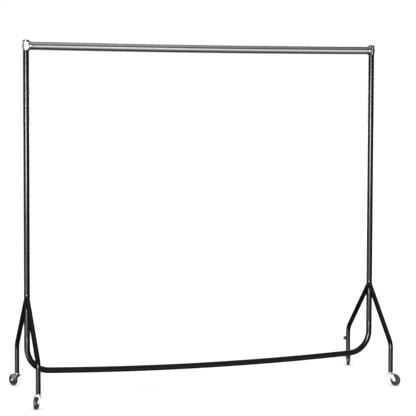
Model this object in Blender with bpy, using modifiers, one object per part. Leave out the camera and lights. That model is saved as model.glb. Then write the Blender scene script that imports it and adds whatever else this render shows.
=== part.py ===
"""Rolling clothes rack: a tubular garment rail on four swivel castors.

Every tube, fitting, fastener and castor piece is its own object.  Units are
metres, +Z is up, the top rail runs along X and the castors stand on z = 0,
with the origin on the floor in the middle of the rack.
"""
import math

import bmesh
import bpy
from mathutils import Matrix, Vector

OBJECT_NAME = "rolling_clothes_rack"

# ---------------------------------------------------------------- frame sizes
RAIL_HEIGHT = 1.500            # axis of the top rail where it meets the uprights
UPRIGHT_SPACING = 1.600        # between the axes of the two uprights
FOOT_SPREAD = 0.470            # between the swivel axes of one end
RAIL_DIAMETER = 0.035
RAIL_WALL = 0.0015
RAIL_SAG = 0.0035              # how far the middle of the rail hangs
POST_DIAMETER = 0.026          # uprights, socket tubes and base rail
POST_WALL = 0.0015
LEG_DIAMETER = 0.0213
LEG_WALL = 0.0015
SOCKET_TOP = 0.442
SOCKET_BOTTOM = 0.255
LEG_JOINT_HEIGHT = 0.431       # where a leg's axis meets the socket tube's axis
LEG_BEND_HEIGHT = 0.185        # corner of the leg's path
LEG_BEND_RADIUS = 0.060
BASE_BEND_HEIGHT = 0.113       # corner of the base rail's path
BASE_BEND_RADIUS = 0.100
BASE_SAG = 0.022               # middle of the base rail below that corner
UPPER_SWAGE = 0.080            # length of the upright inside the socket tube
LOWER_SWAGE = 0.060            # length of the base rail inside the socket tube
SWAGE_SHOULDER = 0.0025        # length over which a tube narrows to its swage
JOINER_LENGTH = 0.140

# -------------------------------------------------------------- corner fitting
SLEEVE_WALL = 0.0016
SLEEVE_ABOVE_NECK = 0.0062
SLEEVE_BELOW_NECK = 0.0002
SLEEVE_ROUNDING = 0.006
SLEEVE_CROWN = 0.010           # thickness over the end of the upright
NECK_LIP = 0.0013              # how far the neck stands proud of the rail
NECK_LENGTH = 0.0032           # from the sleeve's wall to the rail's end
NECK_FULL_FROM = 0.4           # where the neck has its full radius, as shares
NECK_FULL_TO = 0.7             # of the way from the upright's axis
NECK_ROOT = 0.7                # radius at the upright's axis, as a share
SPIGOT_LENGTH = 0.024
SPIGOT_BORE = 0.010
BOLT_RADIUS = 0.003
BOLT_HEAD_RADIUS = 0.0055
BOLT_HEAD_HEIGHT = 0.0012
NUT_RADIUS = 0.0058
NUT_HEIGHT = 0.005
NUT_DEPTH = 0.005              # web of the neck between the rail's end and nut

# --------------------------------------------------------------------- screws
SCREW_RADIUS = 0.002
SCREW_HEAD_RADIUS = 0.0042
SCREW_HEAD_HEIGHT = 0.0024
SCREW_GRIP = 0.008             # length of thread below the head
SCREW_INSET = 0.030            # from the end of the socket tube to a screw
UPPER_SCREW_INSET = 0.055      # the upper screw sits below the legs' welds
JOINER_SCREW_OFFSET = 0.035
DOME_SHOULDER = (0.6, 0.85)    # points of a domed head's outline, as shares
DOME_EDGE = (1.0, 0.3)         # of its radius and height

# ----------------------------------------------------------------- foot bumper
STUD_HEIGHT = 0.136
STUD_RADIUS = 0.0085
STUD_FOOT_RADIUS = 0.0060
STUD_FACE_RADIUS = 0.0062
STUD_SIDE_REACH = 0.0066       # where its side starts to round over
STUD_EDGE_REACH = 0.0102       # where the rounding meets its face
STUD_REACH = 0.011
STUD_SHANK = 0.0025

# -------------------------------------------------------------------- castors
WHEEL_RADIUS = 0.0255
WHEEL_WIDTH = 0.014
TREAD_FLAT = 0.008             # width of the flat middle of the tread
TREAD_SHOULDER = 0.002         # fall of the tread from its middle to its edge
TYRE_DEPTH = 0.0055
TRAIL = 0.027                  # from the swivel axis to the axle
AXLE_RADIUS = 0.003
AXLE_HEAD_RADIUS = 0.0045
AXLE_HEAD_HEIGHT = 0.0014
HUB_BOSS_RADIUS = 0.0065
HUB_WEB = 0.005
HUB_RIM_STEP = 0.001           # rim's faces inside the tyre's
HUB_RIM_THICKNESS = 0.0025
FORK_THICKNESS = 0.0018
FORK_SIDE_CLEARANCE = 0.0008   # wheel to fork arm, each side
FORK_CROWN_WIDTH = 0.026
FORK_CROWN_REAR = 0.0115       # behind the swivel axis
FORK_CROWN_FRONT = 0.018
FORK_TIP_RADIUS = 0.0065
FORK_BROW_REACH = 0.007        # sloping corner in front of the crown
FORK_HEEL_DROP = 0.005         # depth of the side plates behind the stem
FORK_WHEEL_CLEARANCE = 0.002   # tyre to the underside of the crown
WASHER_THICKNESS = 0.0019
WASHER_RADIUS = 0.0095
FLANGE_THICKNESS = 0.0016
INSERT_LENGTH = 0.036
STEM_RADIUS = 0.0045
STEM_HEAD_RADIUS = 0.007
STEM_HEAD_HEIGHT = 0.0014
STEM_HEAD_TAPER = 0.8          # radius of its underside, as a share
STEM_TOP_CHAMFER = 0.0015
STEM_SHORTFALL = 0.002         # from the top of the insert to the stem's tip
GRIP_RING_WIRE = 0.0007
GRIP_RING_DROP = 0.009         # from the top of the insert to the ring
GRIP_RING_OPENING = math.radians(50)
GRIP_RING_STANDOFF = 0.00025   # from the stem's surface to the ring's centre line

# ------------------------------------------------------------ shared clearance
GAP = 0.0003                   # between pieces that touch
RING_GAP = 0.0004              # round the grip ring in its grooves

# ---------------------------------------------------------------- facet counts
RAIL_SIDES = 20
POST_SIDES = 16
LEG_SIDES = 12
SLEEVE_SIDES = 20
TYRE_SIDES = 24
HUB_SIDES = 12
INSERT_SIDES = 12
STEM_SIDES = 10
SCREW_SIDES = 8
NUT_SIDES = 6
GRIP_RING_SIDES = 6
GRIP_RING_STEPS = 8
BEND_STEPS = 5
RAIL_STEPS = 6                 # segments of the sagging top rail
RUN_STEPS = 4                  # segments of one half of the sagging base rail
ROUNDING_ANGLES = (90, 60, 30, 0)
FORK_TIP_ANGLES = (20, -20, -60, -100, -140)
SMOOTH_ANGLE = math.radians(40)
MERGE = 0.00001

# End of the rack: -1 is the left (-X) end and +1 the right.
ENDS = {"left": -1, "right": 1}
# Side of the rack: -1 is the front (-Y) and +1 the rear.
SIDES = {"front": -1, "rear": 1}
# Which way each castor trails at rest, in degrees about +Z from +X.
CASTOR_HEADINGS = {
    ("left", "front"): -118.0,
    ("left", "rear"): 117.5,
    ("right", "front"): -62.5,
    ("right", "rear"): 62.0,
}

# --------------------------------------------------------------- derived sizes
POST_RADIUS = POST_DIAMETER / 2
LEG_RADIUS = LEG_DIAMETER / 2
RAIL_RADIUS = RAIL_DIAMETER / 2
END_X = UPRIGHT_SPACING / 2
FOOT_Y = FOOT_SPREAD / 2
SLEEVE_RADIUS = POST_RADIUS + SLEEVE_WALL
NECK_RADIUS = RAIL_RADIUS + NECK_LIP
NECK_REACH = SLEEVE_RADIUS + NECK_LENGTH
SLEEVE_ABOVE_AXIS = NECK_RADIUS + SLEEVE_ABOVE_NECK
SLEEVE_BELOW_AXIS = NECK_RADIUS + SLEEVE_BELOW_NECK


def inside_radius(bore_radius, sides):
    """Largest radius that clears a faceted bore of the given corner radius."""
    return bore_radius * math.cos(math.pi / sides) - GAP


def around_radius(shaft_radius, sides):
    """Corner radius of a faceted bore that clears a shaft."""
    return (shaft_radius + GAP) / math.cos(math.pi / sides)


SWAGE_RADIUS = inside_radius(POST_RADIUS - POST_WALL, POST_SIDES)
UPRIGHT_TOP = RAIL_HEIGHT + SLEEVE_ABOVE_AXIS - SLEEVE_CROWN
AXLE_HEIGHT = WHEEL_RADIUS * math.cos(math.pi / TYRE_SIDES)
TYRE_BORE = WHEEL_RADIUS - TYRE_DEPTH
HUB_RADIUS = inside_radius(TYRE_BORE, TYRE_SIDES)
ARM_INNER = WHEEL_WIDTH / 2 + FORK_SIDE_CLEARANCE
ARM_OUTER = ARM_INNER + FORK_THICKNESS
CROWN_UNDERSIDE = AXLE_HEIGHT + WHEEL_RADIUS + FORK_WHEEL_CLEARANCE
CROWN_TOP = CROWN_UNDERSIDE + FORK_THICKNESS
INSERT_BORE = around_radius(STEM_RADIUS, INSERT_SIDES)
FLANGE_BOTTOM = CROWN_TOP + GAP + WASHER_THICKNESS + GAP
FLANGE_TOP = FLANGE_BOTTOM + FLANGE_THICKNESS
LEG_BOTTOM = FLANGE_TOP + GAP
INSERT_TOP = FLANGE_TOP + INSERT_LENGTH
STEM_TOP = INSERT_TOP - STEM_SHORTFALL
GRIP_RING_HEIGHT = INSERT_TOP - GRIP_RING_DROP
GRIP_RING_PATH = STEM_RADIUS + GRIP_RING_STANDOFF


# -------------------------------------------------------------------- helpers
def clear_scene():
    """Remove every object of the file that the script runs in."""
    for obj in list(bpy.data.objects):
        bpy.data.objects.remove(obj, do_unlink=True)


def make_collection(name):
    """Add a collection under the scene."""
    collection = bpy.data.collections.new(name)
    bpy.context.scene.collection.children.link(collection)
    return collection


def make_material(name, colour, roughness, metallic):
    """A Principled BSDF material with a plain colour."""
    material = bpy.data.materials.new(name)
    material.use_nodes = True
    shader = material.node_tree.nodes["Principled BSDF"]
    shader.inputs["Base Color"].default_value = (*colour, 1.0)
    shader.inputs["Roughness"].default_value = roughness
    shader.inputs["Metallic"].default_value = metallic
    return material


def add_object(name, mesh, material):
    """Put a mesh into the parts collection as a named object."""
    obj = bpy.data.objects.new(name, mesh)
    PARTS.objects.link(obj)
    mesh.materials.clear()
    mesh.materials.append(material)
    return obj


def finished(obj):
    """Turn a built piece into its finished mesh, and remove the object."""
    depsgraph = bpy.context.evaluated_depsgraph_get()
    mesh = bpy.data.meshes.new_from_object(obj.evaluated_get(depsgraph))
    bpy.data.objects.remove(obj)
    return mesh


def smooth(mesh):
    """Smooth shading with sharp edges left sharp."""
    mesh.shade_smooth()
    mesh.set_sharp_from_angle(angle=SMOOTH_ANGLE)


def turned(name, profile, sides, material):
    """A solid turned about Z.

    The profile is a list of (radius, height) that runs down its outer side.
    A profile that starts on the axis ends on it; any other one is a ring.
    """
    mesh = bpy.data.meshes.new(name)
    vertices = [(radius, 0.0, height) for radius, height in profile]
    edges = [(index, index + 1) for index in range(len(profile) - 1)]
    if profile[0][0] > 0:
        edges.append((len(profile) - 1, 0))
    mesh.from_pydata(vertices, edges, [])
    obj = add_object(name, mesh, material)
    screw = obj.modifiers.new("Turn", "SCREW")
    screw.angle = 2 * math.pi
    screw.steps = sides
    screw.render_steps = sides
    screw.use_merge_vertices = True
    screw.merge_threshold = MERGE
    screw.use_smooth_shade = True
    return obj


def domed_head(radius, height):
    """Outer profile of a low domed head that stands on z = 0."""
    dome = [(radius * across, height * up) for across, up in (DOME_SHOULDER, DOME_EDGE)]
    return [(0.0, height), *dome, (radius, 0.0)]


def aim(obj, place, direction):
    """Move an object to a place with its own Z along a direction."""
    obj.location = place
    obj.rotation_mode = "QUATERNION"
    obj.rotation_quaternion = Vector((0, 0, 1)).rotation_difference(Vector(direction))


def curve_mesh(name, path, radii, sides, capped):
    """Mesh of a tube surface that follows a path of points."""
    curve = bpy.data.curves.new(name, "CURVE")
    curve.dimensions = "3D"
    curve.bevel_depth = radii[0]
    curve.bevel_resolution = (sides - 4) // 2
    curve.use_fill_caps = capped
    spline = curve.splines.new("POLY")
    spline.points.add(len(path) - 1)
    for point, place, radius in zip(spline.points, path, radii):
        point.co = (*place, 1.0)
        point.radius = radius / radii[0]
    guide = bpy.data.objects.new(name, curve)
    PARTS.objects.link(guide)
    mesh = finished(guide)
    weld_mesh(mesh)
    return mesh


def weld_mesh(mesh):
    """Join a mesh's loose caps to its sides."""
    editable = bmesh.new()
    editable.from_mesh(mesh)
    bmesh.ops.remove_doubles(editable, verts=editable.verts, dist=MERGE)
    editable.to_mesh(mesh)
    editable.free()


def bent_tube(name, path, radii, wall, sides, material):
    """A hollow tube along a path, with its own outer radius at each point."""
    mesh = curve_mesh(name, path, radii, sides, capped=False)
    smooth(mesh)
    obj = add_object(name, mesh, material)
    solidify = obj.modifiers.new("Wall", "SOLIDIFY")
    solidify.thickness = wall
    solidify.offset = -1.0
    solidify.use_even_offset = True
    return obj


def bend(before, corner, after, radius):
    """Points of the arc that rounds a corner of a path."""
    to_before = (before - corner).normalized()
    to_after = (after - corner).normalized()
    half_angle = to_before.angle(to_after) / 2
    centre = corner + (to_before + to_after).normalized() * radius / math.sin(half_angle)
    first = corner + to_before * radius / math.tan(half_angle) - centre
    last = corner + to_after * radius / math.tan(half_angle) - centre
    axis = first.cross(last)
    turn = first.angle(last)
    steps = [turn * step / BEND_STEPS for step in range(BEND_STEPS + 1)]
    return [centre + Matrix.Rotation(angle, 3, axis) @ first for angle in steps]


def cylinder_mesh(name, radius, length, sides):
    """A closed cylinder about Z, centred on the origin."""
    mesh = bpy.data.meshes.new(name)
    editable = bmesh.new()
    bmesh.ops.create_cone(
        editable,
        cap_ends=True,
        segments=sides,
        radius1=radius,
        radius2=radius,
        depth=length,
    )
    editable.to_mesh(mesh)
    editable.free()
    return mesh


def cutter(name, mesh):
    """A hidden object that other objects are cut with."""
    obj = bpy.data.objects.new(name, mesh)
    CUTTERS.objects.link(obj)
    obj.hide_render = True
    obj.display_type = "WIRE"
    return obj


def combine(target, other, operation):
    """Add a Boolean modifier that works on the target with another object."""
    modifier = target.modifiers.new(operation.title(), "BOOLEAN")
    modifier.operation = operation
    modifier.solver = "EXACT"
    modifier.object = other


def drill(target, start, end, radius, sides):
    """Cut a round hole from one point to another."""
    start = Vector(start)
    end = Vector(end)
    name = f"{target.name}_drill"
    tool = cutter(name, cylinder_mesh(name, radius, (end - start).length, sides))
    aim(tool, (start + end) / 2, end - start)
    combine(target, tool, "DIFFERENCE")


# ---------------------------------------------------------------------- frame
def base_rail_height(x):
    """Height of the base rail's axis, which sags between its two bends."""
    return BASE_BEND_HEIGHT - BASE_SAG * (1 - (x / END_X) ** 2)


def build_top_rail():
    """The chromed hanging rail, with a slight sag."""
    reach = END_X - NECK_REACH - GAP
    stations = [reach * (2 * step / RAIL_STEPS - 1) for step in range(RAIL_STEPS + 1)]
    path = [(x, 0, RAIL_HEIGHT - RAIL_SAG * (1 - (x / reach) ** 2)) for x in stations]
    radii = [RAIL_RADIUS] * len(path)
    bent_tube("top_rail", path, radii, RAIL_WALL, RAIL_SIDES, CHROME)


def build_upright(end):
    """An upright with its narrowed lower end, cross-drilled at the top."""
    x = ENDS[end] * END_X
    shoulder = SOCKET_TOP + GAP
    heights = [UPRIGHT_TOP, shoulder + SWAGE_SHOULDER, shoulder, SOCKET_TOP - UPPER_SWAGE]
    radii = [POST_RADIUS, POST_RADIUS, SWAGE_RADIUS, SWAGE_RADIUS]
    path = [(x, 0, height) for height in heights]
    upright = bent_tube(f"upright_{end}", path, radii, POST_WALL, POST_SIDES, BLACK_PAINT)
    reach = Vector((POST_DIAMETER, 0, 0))
    axis = Vector((x, 0, RAIL_HEIGHT))
    drill(upright, axis - reach, axis + reach, BOLT_RADIUS + GAP, SCREW_SIDES)
    drill_for_screw(upright, x, SOCKET_TOP - UPPER_SCREW_INSET)


def build_socket_tube(end):
    """The short vertical tube that carries the legs and joins the other tubes."""
    x = ENDS[end] * END_X
    path = [(x, 0, SOCKET_TOP), (x, 0, SOCKET_BOTTOM)]
    radii = [POST_RADIUS] * 2
    tube = bent_tube(f"socket_tube_{end}", path, radii, POST_WALL, POST_SIDES, BLACK_PAINT)
    for height in socket_screw_heights().values():
        drill_for_screw(tube, x, height)


def socket_screw_heights():
    """Heights of the two screws of a socket tube."""
    return {"upper": SOCKET_TOP - UPPER_SCREW_INSET, "lower": SOCKET_BOTTOM + SCREW_INSET}


def drill_for_screw(tube, x, height):
    """Drill the rear wall of a vertical tube."""
    start = (x, 0, height)
    end = (x, POST_DIAMETER, height)
    drill(tube, start, end, SCREW_RADIUS + GAP, SCREW_SIDES)


def build_leg(end, side):
    """A bent leg, coped to the socket tube at its upper end."""
    x = ENDS[end] * END_X
    y = SIDES[side] * FOOT_Y
    top = Vector((x, 0, LEG_JOINT_HEIGHT))
    corner = Vector((x, y, LEG_BEND_HEIGHT))
    bottom = Vector((x, y, LEG_BOTTOM))
    path = [top, *bend(top, corner, bottom, LEG_BEND_RADIUS), bottom]
    radii = [LEG_RADIUS] * len(path)
    leg = bent_tube(f"leg_{end}_{side}", path, radii, LEG_WALL, LEG_SIDES, BLACK_PAINT)
    cope = around_radius(POST_RADIUS, SLEEVE_SIDES)
    reach = Vector((0, 0, 2 * LEG_DIAMETER))
    drill(leg, top - reach, top + reach, cope, SLEEVE_SIDES)


def build_base_rail(end):
    """One half of the base rail: sagging run, bend and narrowed riser."""
    sign = ENDS[end]
    bend_start = END_X - BASE_BEND_RADIUS
    further = [bend_start * step / RUN_STEPS for step in range(1, RUN_STEPS)]
    stations = [GAP / 2, JOINER_LENGTH / 2, *further]
    run = [Vector((sign * x, 0, base_rail_height(x))) for x in stations]
    corner = Vector((sign * END_X, 0, BASE_BEND_HEIGHT))
    shoulder = Vector((sign * END_X, 0, SOCKET_BOTTOM - GAP))
    arc = bend(run[-1], corner, shoulder, BASE_BEND_RADIUS)
    narrowing = shoulder - Vector((0, 0, SWAGE_SHOULDER))
    tip = Vector((sign * END_X, 0, SOCKET_BOTTOM + LOWER_SWAGE))
    path = [*run, *arc, narrowing, shoulder, tip]
    radii = [POST_RADIUS] * (len(path) - 2) + [SWAGE_RADIUS] * 2
    rail = bent_tube(f"base_rail_{end}", path, radii, POST_WALL, POST_SIDES, BLACK_PAINT)
    drill_for_screw(rail, sign * END_X, socket_screw_heights()["lower"])
    drill_under_joiner(rail, sign * JOINER_SCREW_OFFSET)


def build_joiner():
    """The sleeve inside the two halves of the base rail."""
    half = JOINER_LENGTH / 2
    path = [(x, 0, base_rail_height(x)) for x in (-half, 0, half)]
    radii = [SWAGE_RADIUS] * len(path)
    joiner = bent_tube("base_rail_joiner", path, radii, POST_WALL, POST_SIDES, ZINC)
    for sign in ENDS.values():
        drill_under_joiner(joiner, sign * JOINER_SCREW_OFFSET)


def drill_under_joiner(tube, x):
    """Drill the underside of a tube of the base rail."""
    height = base_rail_height(x)
    start = (x, 0, height)
    end = (x, 0, height - POST_DIAMETER)
    drill(tube, start, end, SCREW_RADIUS + GAP, SCREW_SIDES)


def build_screw(name, seat, direction):
    """A domed self-tapping screw whose head rests at seat and faces direction."""
    profile = [
        *domed_head(SCREW_HEAD_RADIUS, SCREW_HEAD_HEIGHT),
        (SCREW_RADIUS, 0.0),
        (SCREW_RADIUS, -SCREW_GRIP + SCREW_RADIUS),
        (0.0, -SCREW_GRIP),
    ]
    aim(turned(name, profile, SCREW_SIDES, ZINC), seat, direction)


def build_frame_screws():
    """Screws of the socket tubes and of the base rail's joiner."""
    for end, sign in ENDS.items():
        for level, height in socket_screw_heights().items():
            seat = (sign * END_X, POST_RADIUS + GAP, height)
            build_screw(f"socket_screw_{level}_{end}", seat, (0, 1, 0))
        x = sign * JOINER_SCREW_OFFSET
        seat = (x, 0, base_rail_height(x) - POST_RADIUS - GAP)
        build_screw(f"joiner_screw_{end}", seat, (0, 0, -1))


def build_stud():
    """The small round bumper on the inner face of the rear right leg."""
    side = -1
    seat_x = ENDS["right"] * END_X + side * (LEG_RADIUS + GAP)
    seat = Vector((seat_x, SIDES["rear"] * FOOT_Y, STUD_HEIGHT))
    inward = Vector((side, 0, 0))
    profile = [
        (0.0, STUD_REACH),
        (STUD_FACE_RADIUS, STUD_EDGE_REACH),
        (STUD_RADIUS, STUD_SIDE_REACH),
        (STUD_FOOT_RADIUS, 0.0),
        (STUD_SHANK, 0.0),
        (STUD_SHANK, -LEG_WALL - STUD_SHANK),
        (0.0, -LEG_WALL - STUD_SHANK),
    ]
    aim(turned("leg_stud", profile, STEM_SIDES, RUBBER), seat, inward)
    leg = bpy.data.objects["leg_right_rear"]
    drill(leg, seat - inward * LEG_RADIUS, seat + inward * LEG_RADIUS, STUD_SHANK + GAP, SCREW_SIDES)


# --------------------------------------------------------------- corner fitting
def build_corner(end):
    """The chromed casting that joins the top rail to an upright, and its bolt."""
    inward = Vector((-ENDS[end], 0, 0))
    axis = Vector((ENDS[end] * END_X, 0, RAIL_HEIGHT))
    rounding = [math.radians(angle) for angle in ROUNDING_ANGLES]
    shoulder_radius = SLEEVE_RADIUS - SLEEVE_ROUNDING
    shoulder_height = SLEEVE_ABOVE_AXIS - SLEEVE_ROUNDING
    top = [
        (
            shoulder_radius + SLEEVE_ROUNDING * math.cos(angle),
            shoulder_height + SLEEVE_ROUNDING * math.sin(angle),
        )
        for angle in rounding
    ]
    profile = [
        (0.0, SLEEVE_ABOVE_AXIS),
        *top,
        (SLEEVE_RADIUS, -SLEEVE_BELOW_AXIS),
        (0.0, -SLEEVE_BELOW_AXIS),
    ]
    connector = turned(f"corner_connector_{end}", profile, SLEEVE_SIDES, CHROME)
    connector.location = axis

    spigot_radius = inside_radius(RAIL_RADIUS - RAIL_WALL, RAIL_SIDES)
    nut_seat = NECK_REACH + NUT_DEPTH
    neck_profile = [
        (0.0, nut_seat),
        (SPIGOT_BORE, nut_seat),
        (SPIGOT_BORE, NECK_REACH + SPIGOT_LENGTH),
        (spigot_radius, NECK_REACH + SPIGOT_LENGTH),
        (spigot_radius, NECK_REACH),
        (RAIL_RADIUS, NECK_REACH),
        (NECK_RADIUS, NECK_REACH * NECK_FULL_TO),
        (NECK_RADIUS, NECK_REACH * NECK_FULL_FROM),
        (NECK_RADIUS * NECK_ROOT, 0.0),
        (0.0, 0.0),
    ]
    neck = turned(f"neck_{end}", neck_profile, SLEEVE_SIDES, CHROME)
    neck_tool = cutter(f"neck_tool_{end}", finished(neck))
    aim(neck_tool, axis, inward)
    combine(connector, neck_tool, "UNION")

    bore = around_radius(POST_RADIUS, SLEEVE_SIDES)
    bore_top = Vector((axis.x, 0, UPRIGHT_TOP + GAP))
    bore_bottom = axis - Vector((0, 0, 2 * SLEEVE_BELOW_AXIS))
    drill(connector, bore_bottom, bore_top, bore, SLEEVE_SIDES)
    outer_end = axis - inward * 2 * SLEEVE_RADIUS
    inner_end = axis + inward * (nut_seat + BOLT_RADIUS)
    drill(connector, outer_end, inner_end, BOLT_RADIUS + GAP, SCREW_SIDES)

    build_corner_bolt(end, axis, inward, nut_seat)


def build_corner_bolt(end, axis, inward, nut_seat):
    """The low-headed bolt through a corner and the nut inside the rail."""
    seat = axis - inward * (SLEEVE_RADIUS + GAP)
    shank = SLEEVE_RADIUS + GAP + nut_seat + NUT_HEIGHT + 2 * BOLT_RADIUS
    profile = [
        *domed_head(BOLT_HEAD_RADIUS, BOLT_HEAD_HEIGHT),
        (BOLT_RADIUS, 0.0),
        (BOLT_RADIUS, -shank),
        (0.0, -shank),
    ]
    aim(turned(f"corner_bolt_{end}", profile, SCREW_SIDES, CHROME), seat, -inward)

    name = f"corner_nut_{end}"
    middle = axis + inward * (nut_seat + GAP + NUT_HEIGHT / 2)
    nut = add_object(name, cylinder_mesh(name, NUT_RADIUS, NUT_HEIGHT, NUT_SIDES), ZINC)
    aim(nut, middle, inward)
    thread_reach = inward * NUT_HEIGHT
    drill(nut, middle - thread_reach, middle + thread_reach, BOLT_RADIUS + GAP, SCREW_SIDES)


# -------------------------------------------------------------------- castors
def along_axle(mesh):
    """Lay a mesh turned about Z along Y, with the middle of a facet at the bottom."""
    half_facet = Matrix.Rotation(math.pi / TYRE_SIDES, 4, "Z")
    mesh.transform(Matrix.Rotation(-math.pi / 2, 4, "X") @ half_facet)
    return mesh


def mirrored(half):
    """A profile and its mirror image below z = 0."""
    return half + [(radius, -height) for radius, height in reversed(half)]


def fork_mesh():
    """Pressed steel fork: an arched strip trimmed to its side outline."""
    crown_side = FORK_CROWN_WIDTH / 2
    half_strip = [
        (ARM_OUTER, AXLE_HEIGHT - FORK_TIP_RADIUS - GAP),
        (ARM_OUTER, AXLE_HEIGHT + FORK_TIP_RADIUS),
        (crown_side, CROWN_TOP - 2 * FORK_THICKNESS),
        (crown_side - FORK_THICKNESS, CROWN_TOP),
    ]
    strip = half_strip + [(-y, z) for y, z in reversed(half_strip)]
    ends = (-2 * FORK_CROWN_REAR, TRAIL + 2 * FORK_TIP_RADIUS)
    vertices = [(x, y, z) for x in ends for y, z in strip]
    count = len(strip)
    faces = [(i, i + 1, i + 1 + count, i + count) for i in range(count - 1)]
    mesh = bpy.data.meshes.new("fork_strip")
    mesh.from_pydata(vertices, [], faces)
    fork = add_object("fork_strip", mesh, ZINC)
    solidify = fork.modifiers.new("Sheet", "SOLIDIFY")
    solidify.thickness = FORK_THICKNESS
    solidify.offset = -1.0
    solidify.use_even_offset = True
    combine(fork, cutter("fork_side", fork_side_mesh()), "INTERSECT")

    below = (0, 0, CROWN_UNDERSIDE - FORK_THICKNESS)
    above = (0, 0, CROWN_TOP + FORK_THICKNESS)
    drill(fork, below, above, around_radius(STEM_RADIUS, INSERT_SIDES), INSERT_SIDES)
    left = (TRAIL, -2 * ARM_OUTER, AXLE_HEIGHT)
    right = (TRAIL, 2 * ARM_OUTER, AXLE_HEIGHT)
    drill(fork, left, right, around_radius(AXLE_RADIUS, SCREW_SIDES), SCREW_SIDES)
    return finished(fork)


def fork_side_mesh():
    """Side outline of the fork as a thick plate across the castor."""
    crown_front = (FORK_CROWN_FRONT, CROWN_TOP + GAP)
    brow = (FORK_CROWN_FRONT + FORK_BROW_REACH, CROWN_UNDERSIDE - FORK_BROW_REACH)
    tip = [
        (
            TRAIL + FORK_TIP_RADIUS * math.cos(math.radians(angle)),
            AXLE_HEIGHT + FORK_TIP_RADIUS * math.sin(math.radians(angle)),
        )
        for angle in FORK_TIP_ANGLES
    ]
    crown_rear = (-FORK_CROWN_REAR, CROWN_TOP + GAP)
    heel = (-FORK_CROWN_REAR, CROWN_UNDERSIDE - FORK_HEEL_DROP)
    outline = [crown_rear, crown_front, brow, *tip, heel]

    curve = bpy.data.curves.new("fork_outline", "CURVE")
    curve.dimensions = "2D"
    curve.fill_mode = "BOTH"
    curve.extrude = FORK_CROWN_WIDTH
    spline = curve.splines.new("POLY")
    spline.points.add(len(outline) - 1)
    for point, (x, z) in zip(spline.points, outline):
        point.co = (x, z, 0, 1)
    spline.use_cyclic_u = True
    guide = bpy.data.objects.new("fork_outline", curve)
    PARTS.objects.link(guide)
    mesh = finished(guide)
    weld_mesh(mesh)
    mesh.transform(Matrix.Rotation(math.pi / 2, 4, "X"))
    return mesh


def stem_mesh():
    """Swivel stem, riveted under the crown and grooved for its grip ring."""
    groove_half = GRIP_RING_WIRE + RING_GAP
    groove_radius = GRIP_RING_PATH - groove_half
    seat = CROWN_UNDERSIDE - GAP
    profile = [
        (0.0, STEM_TOP),
        (STEM_RADIUS - STEM_TOP_CHAMFER, STEM_TOP),
        (STEM_RADIUS, STEM_TOP - STEM_TOP_CHAMFER),
        (STEM_RADIUS, GRIP_RING_HEIGHT + groove_half),
        (groove_radius, GRIP_RING_HEIGHT + groove_half),
        (groove_radius, GRIP_RING_HEIGHT - groove_half),
        (STEM_RADIUS, GRIP_RING_HEIGHT - groove_half),
        (STEM_RADIUS, seat),
        (STEM_HEAD_RADIUS, seat),
        (STEM_HEAD_RADIUS * STEM_HEAD_TAPER, seat - STEM_HEAD_HEIGHT),
        (0.0, seat - STEM_HEAD_HEIGHT),
    ]
    return finished(turned("stem", profile, STEM_SIDES, ZINC))


def insert_mesh():
    """Flanged plastic socket in the end of a leg, grooved for the grip ring."""
    groove_half = GRIP_RING_WIRE + RING_GAP
    groove_radius = around_radius(GRIP_RING_PATH + GRIP_RING_WIRE, INSERT_SIDES)
    body_radius = inside_radius(LEG_RADIUS - LEG_WALL, LEG_SIDES)
    profile = [
        (body_radius, INSERT_TOP),
        (body_radius, FLANGE_TOP),
        (LEG_RADIUS, FLANGE_TOP),
        (LEG_RADIUS, FLANGE_BOTTOM),
        (INSERT_BORE, FLANGE_BOTTOM),
        (INSERT_BORE, GRIP_RING_HEIGHT - groove_half),
        (groove_radius, GRIP_RING_HEIGHT - groove_half),
        (groove_radius, GRIP_RING_HEIGHT + groove_half),
        (INSERT_BORE, GRIP_RING_HEIGHT + groove_half),
        (INSERT_BORE, INSERT_TOP),
    ]
    return finished(turned("insert", profile, INSERT_SIDES, PLASTIC))


def grip_ring_mesh():
    """Open spring ring that holds the stem in its insert."""
    first = GRIP_RING_OPENING / 2
    turn = (2 * math.pi - GRIP_RING_OPENING) / GRIP_RING_STEPS
    angles = [first + turn * step for step in range(GRIP_RING_STEPS + 1)]
    path = [
        (GRIP_RING_PATH * math.cos(angle), GRIP_RING_PATH * math.sin(angle), GRIP_RING_HEIGHT)
        for angle in angles
    ]
    radii = [GRIP_RING_WIRE] * len(path)
    return curve_mesh("grip_ring", path, radii, GRIP_RING_SIDES, capped=True)


def washer_mesh():
    """Thrust washer between the fork and the insert's flange."""
    bottom = CROWN_TOP + GAP
    top = bottom + WASHER_THICKNESS
    profile = [
        (WASHER_RADIUS, top),
        (WASHER_RADIUS, bottom),
        (INSERT_BORE, bottom),
        (INSERT_BORE, top),
    ]
    return finished(turned("washer", profile, INSERT_SIDES, ZINC))


def axle_mesh():
    """Axle riveted over both arms of the fork, placed as the fork is."""
    seat = ARM_OUTER + GAP
    head = domed_head(AXLE_HEAD_RADIUS, AXLE_HEAD_HEIGHT)
    half = [(radius, seat + height) for radius, height in [*head, (AXLE_RADIUS, 0.0)]]
    mesh = along_axle(finished(turned("axle", mirrored(half), SCREW_SIDES, ZINC)))
    mesh.transform(Matrix.Translation((TRAIL, 0, AXLE_HEIGHT)))
    return mesh


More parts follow.
